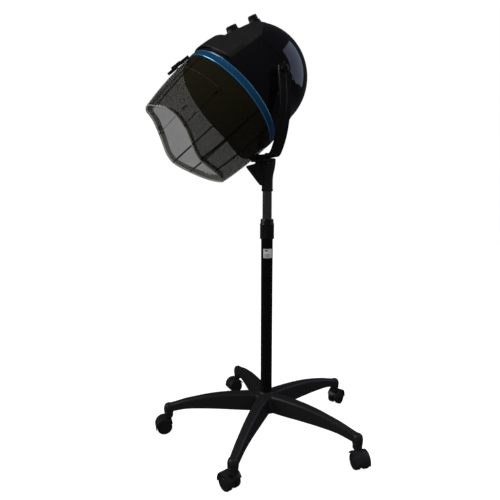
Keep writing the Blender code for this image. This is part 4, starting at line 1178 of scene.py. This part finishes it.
@dataclass
class HoodShells:
    """The dome, the middle shell, the blue ring and the black front shell."""

    layout: Layout
    dome_radius: float = 0.1327
    flare: float = 0.0110
    flare_end: float = 0.0900
    wall: float = 0.0025
    seam: float = -0.0200
    ring_from: float = 0.0840
    ring_to: float = 0.1024
    ring_radius: float = 0.1446
    front_inset: float = 0.0065
    front_from: float = 0.0845
    steps: int = 180
    window_deg: float = 53.3
    # How far along the axis the front shell reaches, by degrees from the front.
    front_edge: tuple[tuple[float, float], ...] = (
        (0.0, 0.1215), (60.0, 0.1225), (120.0, 0.1255), (142.0, 0.1370), (163.0, 0.1500), (180.0, 0.1530),
    )
    vents: int = 8
    vent_from_deg: float = 88.5
    vent_pitch_deg: float = 2.3

    def body(self, w: float) -> float:
        """Outside radius of the dome and middle shell."""
        if w < 0.0:
            return math.sqrt(max(self.dome_radius**2 - w * w, 0.0))
        rise = 1.0 - min(w / self.flare_end, 1.0)
        return self.dome_radius + self.flare * (1.0 - rise * rise)

    def rear_edge(self, degrees: float) -> float:
        """Rear edge of the control housing."""
        return -0.1120 + 0.0850 * (degrees / 53.0) ** 2

    def window(self) -> bmesh.types.BMesh:
        """Cutter for the opening that the control housing closes."""
        half = self.window_deg
        return wrapped(
            self.layout.hood, lambda s, t: half * (2 * s - 1),
            lambda s, t: self.rear_edge(half * (2 * s - 1)) - 0.0006 + t * (0.0752 - self.rear_edge(half * (2 * s - 1))),
            lambda a, w: 0.055, lambda a, w: 0.158, (72, 1),
        )

    def middle(self) -> bmesh.types.BMesh:
        """The middle shell, with its front bead and the pivot holes."""
        start, end = self.seam + 0.0002, self.ring_from - 0.0003
        rows = [start, start + 0.0005, start + 0.0012] + [start + (end - start) * i / 14 for i in range(1, 14)] + [end - 0.0010, end - 0.0004, end]
        outer = [(self.body(w), w) for w in rows]
        outer[0] = (outer[0][0] - 0.0006, start)
        outer[-1] = (outer[-1][0] - 0.0004, end)
        inner = [(self.body(w) - self.wall, w) for w in rows]
        shell = turned(self.layout.hood, outer + inner[::-1], self.steps)
        holes = []
        for hand in Hand:
            across = space_of(self.layout.tilt_point, UP, FORWARD, hand.value * SIDE)
            holes.append(turned(across, [(0.0, 0.124), (0.0043, 0.124), (0.0043, 0.150), (0.0, 0.150)], 32, loop=False))
        return combined(shell, [self.window(), *holes])

    def dome(self) -> bmesh.types.BMesh:
        """The dome cap."""
        rows, start = 30, math.asin(self.seam / self.dome_radius)
        outer = []
        for i in range(rows + 1):
            angle = start - (math.pi / 2 + start) * i / rows
            outer.append((self.dome_radius * math.cos(angle), self.dome_radius * math.sin(angle)))
        seam = self.seam - 0.0002
        outer = [(outer[0][0] - 0.0006, seam), (outer[0][0], seam - 0.0006), *outer[1:]]
        outer[-1] = (0.0, -self.dome_radius)
        scale = (self.dome_radius - self.wall) / self.dome_radius
        inner = [(r * scale, w * scale if i > 1 else w) for i, (r, w) in enumerate(outer)]
        inner[0] = (outer[1][0] - self.wall, seam)
        shell = turned(self.layout.hood, outer + inner[::-1], self.steps, loop=True)
        return combined(shell, [self.window()])

    def ring(self) -> bmesh.types.BMesh:
        """The trim ring: a crowned band with a painted highlight line along both edges."""
        low, high = self.ring_from, self.ring_to
        middle, top = (low + high) / 2, self.ring_radius
        outline = [
            (0.1376, low), (top - 0.0016, low), (top - 0.0008, low + 0.0006), (top - 0.0004, low + 0.0016),
            (top - 0.0011, low + 0.0022), (top - 0.0006, low + 0.0042), (top, middle), (top - 0.0006, high - 0.0042),
            (top - 0.0011, high - 0.0022), (top - 0.0004, high - 0.0016), (top - 0.0008, high - 0.0006),
            (top - 0.0016, high), (0.1376, high)]
        bm = turned(self.layout.hood, outline, self.steps)
        axis, centre = self.layout.axis, self.layout.centre
        # Faces near either edge of the ring get the painted highlight copy of the blue.
        edge = lambda p: abs((p - centre).dot(axis) - middle) > 0.5 * (high - low) - 0.0021
        return painted(bm, 1, edge)

    def front(self) -> bmesh.types.BMesh:
        """The black front shell, deeper underneath, with two banks of slanted vents."""
        wall = self.wall
        rows = [i / 16 for i in range(17)]
        outline = [(1.0, t) for t in rows] + [(0.9935, 1.004)] + [(0.9860, 1.004)] + [(0.9820, t) for t in reversed(rows)]
        bm = turned(Matrix.Identity(4), outline, self.steps)
        for vert in bm.verts:
            angle = abs(math.degrees(math.atan2(vert.co.y, vert.co.x)))
            end = smooth_between(angle, self.front_edge)
            w = self.front_from + (end - self.front_from) * vert.co.z
            reach = math.hypot(vert.co.x, vert.co.y)
            radius = self.layout.visor_radius(w) - self.front_inset - (1.0 - reach) * wall / 0.0180
            vert.co = (vert.co.x * radius / reach, vert.co.y * radius / reach, w)
        bmesh.ops.transform(bm, matrix=self.layout.hood, verts=bm.verts)
        r = self.layout.visor_radius(0.1060) - self.front_inset
        slots = []
        for hand in Hand:
            for i in range(self.vents):
                angle = math.radians(hand.value * (self.vent_from_deg + self.vent_pitch_deg * i))
                radial = math.cos(angle) * self.layout.crown + math.sin(angle) * SIDE
                tangent = math.cos(angle) * SIDE - math.sin(angle) * self.layout.crown
                lean = (self.layout.axis + 0.35 * hand.value * tangent).normalized()
                at = space_of(self.layout.centre + 0.1060 * self.layout.axis + r * radial, lean, radial.cross(lean), radial)
                slots.append(boxed(at, (-0.0120, -0.0011, -0.006), (0.0120, 0.0011, 0.006)))
        return combined(outward(bm), [joined(slots)])

    def build(self) -> None:
        """Makes the four shells."""
        as_piece("middle_shell", self.middle(), GLOSS, "hood", ["mid_shell"], 30.0)
        as_piece("dome_shell", self.dome(), GLOSS, "hood", ["dome_cap"], 30.0)
        as_piece("blue_ring", self.ring(), [BLUE, BLUE_EDGE_HIGHLIGHT], "hood", ["trim_ring"], 60.0)
        as_piece("vented_front_shell", self.front(), SATIN, "hood", ["front_shell"], 30.0)


@dataclass
class ControlPanel:
    """The control housing with its timer, temperature knob, lamp and printed scales."""

    layout: Layout
    shells: HoodShells
    half_deg: float = 53.0
    slope: float = 0.2660
    height: float = 0.1310
    height_at: float = 0.0216
    block_rise: float = 0.0045
    front: float = 0.0740
    timer_at: float = -0.0268
    temperature_at: float = -0.0892
    lamp_at: float = -0.0572
    wall: float = 0.0025

    def top(self, degrees: float, w: float) -> float:
        """Outside radius: the flat panel, then the raised block, with rolled corners."""
        body = self.shells.body(w) + 0.0012
        line = self.height - self.slope * (self.height_at - min(w, self.height_at))
        flat = line / math.cos(math.radians(degrees))
        spread = 0.0014
        gap = max(spread - abs(body - flat), 0.0) / spread
        panel = min(body, flat) - spread * gap * gap / 4.0
        t = min(max((w - self.height_at + 0.0004) / 0.0030, 0.0), 1.0)
        ease = t * t * (3 - 2 * t)
        sides = min(max((self.half_deg - abs(degrees)) / 4.0, 0.0), 1.0)
        block = body - 0.0012 + self.block_rise * (0.28 + 0.72 * sides * sides * (3 - 2 * sides))
        radius = panel * (1 - ease) + block * ease
        near = min(w - self.shells.rear_edge(degrees), self.front - w, (self.half_deg - abs(degrees)) * 0.0024)
        return radius - 0.0011 * max(1.0 - near / 0.0012, 0.0) ** 2

    def along(self, degrees: float, t: float) -> float:
        """Rows of the housing, closer together at its step and edges."""
        start = self.shells.rear_edge(degrees)
        knots = [(0.0, start), (0.03, start + 0.0012), (0.55, self.height_at - 0.0024), (0.66, self.height_at + 0.0030),
                 (0.97, self.front - 0.0012), (1.0, self.front)]
        for (t0, w0), (t1, w1) in zip(knots, knots[1:]):
            if t <= t1 + 1e-9:
                return w0 + (w1 - w0) * (t - t0) / (t1 - t0)
        return self.front

    def panel_space(self, w: float) -> Matrix:
        """Local (along, across, out) space on the panel at w."""
        normal = (self.layout.crown - self.slope * self.layout.axis).normalized()
        along = (self.layout.axis + self.slope * self.layout.crown).normalized()
        height = self.height - self.slope * (self.height_at - w)
        return space_of(self.layout.centre + w * self.layout.axis + height * self.layout.crown, along, SIDE, normal)

    def housing(self) -> bmesh.types.BMesh:
        """The moulded housing, with openings for the shafts and the lamp."""
        turn = lambda s, t: self.half_deg * (2 * s - 1)
        bm = wrapped(
            self.layout.hood, turn, lambda s, t: self.along(turn(s, t), t),
            lambda a, w: self.top(a, w) - self.wall, self.top, (96, 100),
        )
        rear = self.panel_space(self.temperature_at)
        pedestal = turned(rear, [
            (0.0, -0.0200), (0.0165, -0.0200), (0.0165, -0.0010), (0.0161, -0.0003), (0.0155, 0.0), (0.0, 0.0)], 48, loop=False)
        bm = combined(bm, [pedestal], "UNION")
        cuts = [turned(rear, [(0.0, -0.030), (0.0142, -0.030), (0.0142, -0.0025), (0.0, -0.0025)], 48, loop=False)]
        cuts += [turned(self.panel_space(w), [(0.0, -0.008), (0.0045, -0.008), (0.0045, 0.008), (0.0, 0.008)], 32, loop=False)
                 for w in (self.timer_at, self.temperature_at)]
        cuts.append(boxed(self.panel_space(self.lamp_at), (-0.0052, -0.0082, -0.008), (0.0052, 0.0082, 0.008)))
        return combined(bm, cuts)

    def knob(self, w: float, radius: float, top: float, flutes: int) -> bmesh.types.BMesh:
        """A skirted knob with a fluted grip and a raised pointer.

        Args:
            w: Where its shaft is.
            radius: Radius of the skirt.
            top: Height of its top above the panel.
            flutes: Flutes round the grip.

        Returns:
            The mesh.
        """
        grip = radius - 0.0030
        outline = [
            (0.0032, 0.0008), (radius - 0.0006, 0.0008), (radius, 0.0014), (radius, 0.0036), (radius - 0.0006, 0.0045),
            (grip + 0.0008, 0.0052), (grip, 0.0060), (grip - 0.0002, 0.0080), (grip - 0.0005, top * 0.65),
            (grip - 0.0009, top - 0.0030), (grip - 0.0012, top - 0.0014), (grip - 0.0020, top - 0.0003),
            (grip - 0.0030, top), (0.0, top), (0.0, 0.0105), (0.0032, 0.0105)]
        bm = turned(Matrix.Identity(4), outline, flutes * 8)
        for vert in bm.verts:
            reach = math.hypot(vert.co.x, vert.co.y)
            if 0.0065 < vert.co.z < top - 0.0008 and reach > grip - 0.0022:
                dip = 0.0007 * (0.5 + 0.5 * math.cos(flutes * math.atan2(vert.co.y, vert.co.x))) ** 2
                vert.co.x, vert.co.y = vert.co.x * (1 - dip / reach), vert.co.y * (1 - dip / reach)
        space = self.panel_space(w)
        bmesh.ops.transform(bm, matrix=space, verts=bm.verts)
        pointer = boxed(space, (0.0020, -0.0011, top - 0.0010), (grip - 0.0034, 0.0011, top + 0.0008))
        return combined(outward(bm), [eased(pointer, 0.0003)], "UNION")

    def number(self, text: str, w: float, reach: float, degrees: float, size: float) -> bmesh.types.BMesh:
        """One printed numeral of a scale.

        Args:
            text: The numeral.
            w: Where the scale's middle is.
            reach: Its distance from the middle.
            degrees: Its angle round the middle.
            size: Height of the print.

        Returns:
            The mesh.
        """
        curve = bpy.data.curves.new("numeral", "FONT")
        curve.body, curve.size, curve.extrude = text, size, 0.00006
        curve.align_x = curve.align_y = "CENTER"
        carrier = bpy.data.objects.new("numeral", curve)
        bpy.context.scene.collection.objects.link(carrier)
        graph = bpy.context.evaluated_depsgraph_get()
        bm = bmesh.new()
        bm.from_mesh(carrier.evaluated_get(graph).to_mesh())
        bpy.data.objects.remove(carrier)
        bpy.data.curves.remove(curve)
        bmesh.ops.remove_doubles(bm, verts=bm.verts, dist=1e-7)
        angle = math.radians(degrees)
        upright = Matrix.Rotation(math.radians(-90.0), 4, "Z")
        place = Matrix.Translation((reach * math.cos(angle), reach * math.sin(angle), 0.00012)) @ upright
        mirror = Matrix.Diagonal((-1.0, 1.0, 1.0, 1.0))
        bmesh.ops.transform(bm, matrix=self.panel_space(w) @ place @ mirror, verts=bm.verts)
        return outward(bm)

    def scale(self, w: float, radius: float, marks: Sequence[str], sweep: float) -> bmesh.types.BMesh:
        """The printed scale round a knob: a bar for each step and a numeral for each mark.

        Args:
            w: Where the knob is.
            radius: Radius of the knob's skirt.
            marks: The numerals, in order.
            sweep: Degrees between the first and the last.

        Returns:
            The mesh.
        """
        print_ = []
        parts = 4 * (len(marks) - 1)
        for i in range(parts + 1):
            degrees = sweep / 2 - sweep * i / parts
            at = self.panel_space(w) @ Matrix.Rotation(math.radians(degrees), 4, "Z")
            long = 0.0026 if i % 4 == 0 else 0.0015
            print_.append(boxed(at, (radius + 0.0012, -0.0002, 0.00005), (radius + 0.0012 + long, 0.0002, 0.00015)))
            if i % 4 == 0:
                print_.append(self.number(marks[i // 4], w, radius + 0.0068, degrees, 0.0042))
        return joined(print_)

    def build(self) -> None:
        """Makes the housing, the knobs, the lamp and the scales, and dresses what is behind them."""
        as_piece("control_cover", self.housing(), PANEL, "hood", ["control_housing"], 32.0)
        timer = self.knob(self.timer_at, 0.0180, 0.0165, 20)
        as_piece("timer_dial_knob", timer, KNOB, "timer_dial", ["timer_knob"], 40.0)
        temperature = self.knob(self.temperature_at, 0.0155, 0.0185, 18)
        as_piece("temperature_dial_knob", temperature, KNOB, "temperature_dial", ["temperature_knob"], 40.0)
        lamp = eased(boxed(self.panel_space(self.lamp_at), (-0.0049, -0.0079, -0.0060), (0.0049, 0.0079, 0.0018)), 0.0010, 4)
        as_piece("lamp_lens", lamp, LENS, "hood", ["pilot_lamp"])
        as_piece("timer_scale", self.scale(self.timer_at, 0.0180, ("0", "15", "30", "45", "60"), 270.0), WHITE_INK, "hood")
        as_piece("temperature_scale", self.scale(self.temperature_at, 0.0155, ("0", "1", "2", "3"), 240.0), WHITE_INK, "hood")
        for node in ("timer_unit", "temperature_switch"):
            dress_node(node, STEEL)


@dataclass
class Blower:
    """What is inside the hood: motor, impeller, heater and the perforated bowl."""

    layout: Layout
    holes_in_ring: tuple[tuple[int, float], ...] = ((8, 0.050), (14, 0.074), (20, 0.097))

    def bowl(self) -> bmesh.types.BMesh:
        """The inner bowl that spreads the warm air through rings of holes."""
        outer = [(0.1335, 0.1215), (0.1335, 0.1195), (0.1240, 0.1190), (0.1212, 0.1180),
                 (0.1095, 0.1125), (0.0880, 0.1030), (0.0635, 0.0982), (0.0360, 0.0955)]
        inner = [(0.0360, 0.0970), (0.0625, 0.1000), (0.0875, 0.1050), (0.1085, 0.1145), (0.1200, 0.1202),
                 (0.1240, 0.1212), (0.1312, 0.1215)]
        bm = turned(self.layout.hood, outer + inner, 144)
        holes = []
        for count, reach in self.holes_in_ring:
            for i in range(count):
                angle = math.tau * i / count
                at = self.layout.hood @ Matrix.Translation((reach * math.cos(angle), reach * math.sin(angle), 0.0))
                holes.append(turned(at, [(0.0, 0.080), (0.0050, 0.080), (0.0050, 0.130), (0.0, 0.130)], 14, loop=False))
        return combined(bm, [joined(holes)])

    def build(self) -> None:
        """Makes the bowl and dresses the CAD nodes behind it."""
        as_piece("air_bowl", self.bowl(), INNER_BLACK, "hood", ["inner_bowl"], 32.0)
        for node, finish in (("motor_bracket", STEEL), ("motor", STEEL), ("impeller", NYLON),
                             ("heater_former", MICA), ("heating_coil", NICHROME)):
            dress_node(node, finish)


@dataclass
class Visor:
    """The smoked visor, its hinged front flap and the flap's fittings."""

    layout: Layout
    wall: float = 0.0020
    start: float = 0.1028
    flap_start: float = 0.1445
    flap_half_deg: float = 67.0
    corner: float = 0.0100
    steps: int = 360
    rows: int = 16
    rib_depth: float = 0.0010
    rib_half_deg: float = 1.3
    ribs: tuple[float, ...] = (-126.6, -104.0, -25.0, 25.0, 104.0, 126.6)
    # How far along the axis the rim reaches, by degrees from the front.
    rim: tuple[tuple[float, float], ...] = (
        (0.0, 0.2640), (22.0, 0.2620), (36.0, 0.2565), (48.0, 0.2540), (60.0, 0.2570), (72.0, 0.2635),
        (80.0, 0.2700), (90.0, 0.2785), (98.0, 0.2820), (104.0, 0.2825), (115.0, 0.2775), (130.0, 0.2680),
        (147.0, 0.2590), (165.0, 0.2515), (180.0, 0.2485),
    )

    def skirt(self) -> bmesh.types.BMesh:
        """The whole visor wall with its moulded ribs and turned-in lip."""
        # Each corner: inset from the outer face, then its place. Places up to 1 run to where the lip starts to
        # turn in, and the lip's own are metres from there.
        wall = self.wall
        outline = [(0.0, i / self.rows) for i in range(self.rows + 1)]
        lip = [(0.0003, 0.0014), (0.0010, 0.0024), (0.0020, 0.0030), (0.0034, 0.0026), (0.0080, -0.0028),
               (0.0133, -0.0070), (0.0143, -0.0082), (0.0148, -0.0095), (0.0143, -0.0107), (0.0127, -0.0108),
               (0.0065, -0.0060), (wall + 0.0012, -0.0028), (wall + 0.0004, -0.0024)]
        lip_from = len(outline)
        outline += lip + [(wall, i / self.rows) for i in range(self.rows - 1, -1, -1)]
        lip_to = lip_from + len(lip)
        bm = turned(Matrix.Identity(4), [(1.0 - inset, float(k)) for k, (inset, _) in enumerate(outline)], self.steps)
        for vert in bm.verts:
            k = round(vert.co.z)
            inset, t = outline[k]
            angle = math.degrees(math.atan2(vert.co.y, vert.co.x))
            turn = smooth_between(abs(angle), self.rim) - 0.0030
            in_lip = lip_from <= k < lip_to
            w = turn + t if in_lip else self.start + (turn - self.start) * t
            radius = self.layout.visor_radius(max(w, turn) if in_lip else w) - inset
            if not in_lip:
                rib = max(bell(angle, centre, self.rib_half_deg) for centre in self.ribs)
                radius += self.rib_depth * rib * (0.35 if k < lip_from else -1.0)
            reach = math.hypot(vert.co.x, vert.co.y)
            vert.co = (vert.co.x * radius / reach, vert.co.y * radius / reach, w)
        bmesh.ops.transform(bm, matrix=self.layout.hood, verts=bm.verts)
        return outward(bm)

    def cutter(self, margin: float) -> bmesh.types.BMesh:
        """The flap's share of the visor, with rounded upper corners.

        Args:
            margin: How much larger than the flap it is.

        Returns:
            The mesh.
        """
        radius = self.layout.visor_radius(self.flap_start)
        half = self.flap_half_deg + math.degrees(margin / radius)
        reach = math.radians(half) * radius

        def start(degrees: float) -> float:
            into = abs(math.radians(degrees)) * radius - (reach - self.corner)
            curve = self.corner - math.sqrt(max(self.corner**2 - max(into, 0.0) ** 2, 0.0))
            return self.flap_start - margin + curve

        def turn(s: float, t: float) -> float:
            return half * math.sin(math.pi / 2 * (2 * s - 1))

        return wrapped(
            self.layout.hood, turn, lambda s, t: start(turn(s, t)) + t * (0.320 - start(turn(s, t))),
            lambda a, w: 0.100, lambda a, w: 0.162, (120, 1),
        )

    def shade(self, bm: bmesh.types.BMesh, flap: bool) -> bmesh.types.BMesh:
        """Picks out the ribs in painted shade, the lip, and the rim and flap cut edges in a painted highlight.

        Args:
            bm: The mesh.
            flap: Whether it is the flap.

        Returns:
            The same mesh, with its faces' finishes set.
        """
        to_hood = self.layout.hood.inverted()
        for face in bm.faces:
            p = to_hood @ face.calc_center_median()
            angle = math.degrees(math.atan2(p.y, p.x))
            reach = math.hypot(p.x, p.y)
            end = smooth_between(abs(angle), self.rim)
            # Rib faces get the painted shade copy of the acrylic.
            if any(abs(angle - rib) < 0.75 * self.rib_half_deg for rib in self.ribs):
                face.material_index = 1
            outer = self.layout.visor_radius(min(p.z, end))
            if reach < outer - self.wall - 0.0012 and p.z > end - 0.02:
                face.material_index = 2
            # Rim faces get the painted highlight copy of the acrylic.
            if p.z > end - 0.0014 and reach > outer - 0.0045:
                face.material_index = 3
            # The flap's hinge-side cut edge gets the same painted highlight.
            if flap and p.z < self.flap_start + 0.0002:
                face.material_index = 3
            # The flap's side seams get the same dark copy.
            if abs(abs(angle) - self.flap_half_deg) < 0.45 and p.z > self.flap_start:
                face.material_index = 1
        return bm

    def fitting(self, node: str, ease: float) -> bmesh.types.BMesh:
        """A small CAD fitting with its edges rounded."""
        return eased(cad_copy(node), ease, 2, 28.0)

    def build(self) -> None:
        """Makes the visor, the flap and the flap's fittings."""
        finishes = [SMOKE, SMOKE_RIB_SHADE, SMOKE_LIP, SMOKE_EDGE_HIGHLIGHT]
        whole = self.skirt()
        kept = combined(whole.copy(), [self.cutter(0.0006)])
        flap = combined(whole, [self.cutter(0.0)], "INTERSECT")
        as_piece("smoke_visor", self.shade(kept, False), finishes, "hood", ["visor"], 40.0)
        as_piece("smoke_flap", self.shade(flap, True), finishes, "flap", ["front_flap"], 40.0)
        as_piece("hinge_block", self.fitting("flap_hinge", 0.0005), SATIN, "hood", ["flap_hinge"])
        as_piece("hinge_leaf", self.fitting("flap_bracket", 0.0005), SATIN, "flap", ["flap_bracket"])
        as_piece("flap_catch", self.fitting("flap_clip", 0.0005), SATIN, "flap", ["flap_clip"])


# ------------------------------------------------------------------ studio


@dataclass
class Studio:
    """Pale floor, soft light and the camera."""

    eye: Vector = field(default_factory=lambda: Vector((1.1610, -0.5642, 0.7342)))
    heading: Vector = field(default_factory=lambda: Vector((-0.9135, 0.4067, 0.0)))
    pitch_deg: float = 8.69
    lens: float = 34.2
    backdrop: float = 1.0
    ambient: float = 0.20

    def camera(self) -> None:
        """Sets the camera up."""
        data = bpy.data.cameras.new("camera")
        data.lens, data.sensor_width = self.lens, 36.0
        data.shift_x, data.shift_y = -0.0004, -0.0052
        data.clip_start, data.clip_end = 0.05, 60.0
        obj = bpy.data.objects.new("camera", data)
        pitch = math.radians(self.pitch_deg)
        look = self.heading.normalized() * math.cos(pitch) - UP * math.sin(pitch)
        obj.location = self.eye
        obj.rotation_mode = "QUATERNION"
        obj.rotation_quaternion = look.to_track_quat("-Z", "Y")
        bpy.context.scene.collection.objects.link(obj)
        bpy.context.scene.camera = obj

    def world(self) -> None:
        """A white backdrop to the eye, and dimmer even light on the object."""
        world = bpy.data.worlds.new("studio")
        world.use_nodes = True
        tree = world.node_tree
        nodes, links = tree.nodes, tree.links
        seen, lit = nodes["Background"], nodes.new("ShaderNodeBackground")
        seen.inputs["Color"].default_value = (1.0, 1.0, 1.0, 1.0)
        seen.inputs["Strength"].default_value = self.backdrop
        lit.inputs["Color"].default_value = (0.95, 0.97, 1.0, 1.0)
        lit.inputs["Strength"].default_value = self.ambient
        ray, mix = nodes.new("ShaderNodeLightPath"), nodes.new("ShaderNodeMixShader")
        links.new(ray.outputs["Is Glossy Ray"], mix.inputs["Fac"])
        outer = nodes.new("ShaderNodeMixShader")
        dark = nodes.new("ShaderNodeBackground")
        dark.inputs["Color"].default_value = (0.90, 0.92, 1.0, 1.0)
        dark.inputs["Strength"].default_value = 0.025
        links.new(lit.outputs[0], mix.inputs[1])
        links.new(dark.outputs[0], mix.inputs[2])
        links.new(ray.outputs["Is Camera Ray"], outer.inputs["Fac"])
        links.new(mix.outputs[0], outer.inputs[1])
        links.new(seen.outputs[0], outer.inputs[2])
        links.new(outer.outputs[0], nodes["World Output"].inputs["Surface"])
        bpy.context.scene.world = world

    def softbox(self, name: str, place: Vector, aim: Vector, size: tuple[float, float], power: float, tint: Colour,
                shine: bool = False) -> None:
        """Adds a soft rectangular lamp.

        Args:
            name: The lamp's name.
            place: Where it stands.
            aim: What it faces.
            size: Its width and height.
            power: Its power in watts.
            tint: Its colour.
            shine: Whether glossy pieces mirror it.
        """
        data = bpy.data.lights.new(name, "AREA")
        data.shape, data.size, data.size_y = "RECTANGLE", *size
        data.energy, data.color = power, tint
        obj = bpy.data.objects.new(name, data)
        obj.location = place
        obj.visible_glossy = shine
        obj.rotation_mode = "QUATERNION"
        obj.rotation_quaternion = (aim - place).to_track_quat("-Z", "Y")
        bpy.context.scene.collection.objects.link(obj)

    def floor(self) -> None:
        """A pale floor that takes a faint shadow."""
        bm = bmesh.new()
        bmesh.ops.create_circle(bm, cap_ends=True, segments=96, radius=9.0)
        mesh = bpy.data.meshes.new("floor")
        bm.to_mesh(mesh)
        bm.free()
        material = bpy.data.materials.new("pale_floor")
        material.use_nodes = True
        shader = material.node_tree.nodes["Principled BSDF"]
        shader.inputs["Base Color"].default_value = (0.50, 0.50, 0.51, 1.0)
        shader.inputs["Roughness"].default_value = 0.9
        shader.inputs["Specular IOR Level"].default_value = 0.0
        shader.inputs["Emission Color"].default_value = (1.0, 1.0, 1.0, 1.0)
        shader.inputs["Emission Strength"].default_value = 0.90
        mesh.materials.append(material)
        obj = bpy.data.objects.new("floor", mesh)
        obj.visible_glossy = False
        obj.visible_diffuse = False
        bpy.context.scene.collection.objects.link(obj)

    def build(self) -> None:
        """Sets up the camera, the lamps and the floor."""
        self.camera()
        self.world()
        self.floor()
        middle = Vector((0.0, 0.0, 0.75))
        self.softbox("overhead", Vector((0.55, -0.45, 3.2)), Vector((0.1, -0.1, 0.6)), (1.3, 1.3), 42.0, (1.0, 0.98, 0.96))
        self.softbox("left", Vector((-0.6, -2.6, 1.9)), middle, (1.2, 1.8), 26.0, (1.0, 1.0, 1.0), True)
        self.softbox("window", Vector((0.5, 2.8, 2.1)), middle, (2.6, 2.8), 13.0, (0.64, 0.72, 1.0), True)
        self.softbox("skylight", Vector((0.55, -0.45, 3.2)), Vector((0.1, -0.1, 0.6)), (1.3, 1.3), 2.6, (0.80, 0.80, 1.0), True)
        self.softbox("front", Vector((2.8, -0.9, 1.6)), middle, (1.6, 1.6), 16.0, (1.0, 1.0, 1.0))
        bpy.context.scene.view_settings.view_transform = "Standard"


def main() -> None:
    """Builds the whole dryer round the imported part."""
    logging.basicConfig(level=logging.INFO, format="%(name)s: %(message)s")
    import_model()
    layout = Layout()
    foot = StarBase(layout)
    shells = HoodShells(layout)
    foot.build()
    for index, trail_deg in enumerate((262.0, 196.0, 350.0, 120.0, 275.0)):
        Caster(layout, index + 1, foot.first_arm_deg + 72.0 * index, trail_deg).build()
    Column(layout).build()
    Fork(layout).build()
    shells.build()
    ControlPanel(layout, shells).build()
    Blower(layout).build()
    Visor(layout).build()
    Studio().build()


if __name__ == "__main__":
    main()
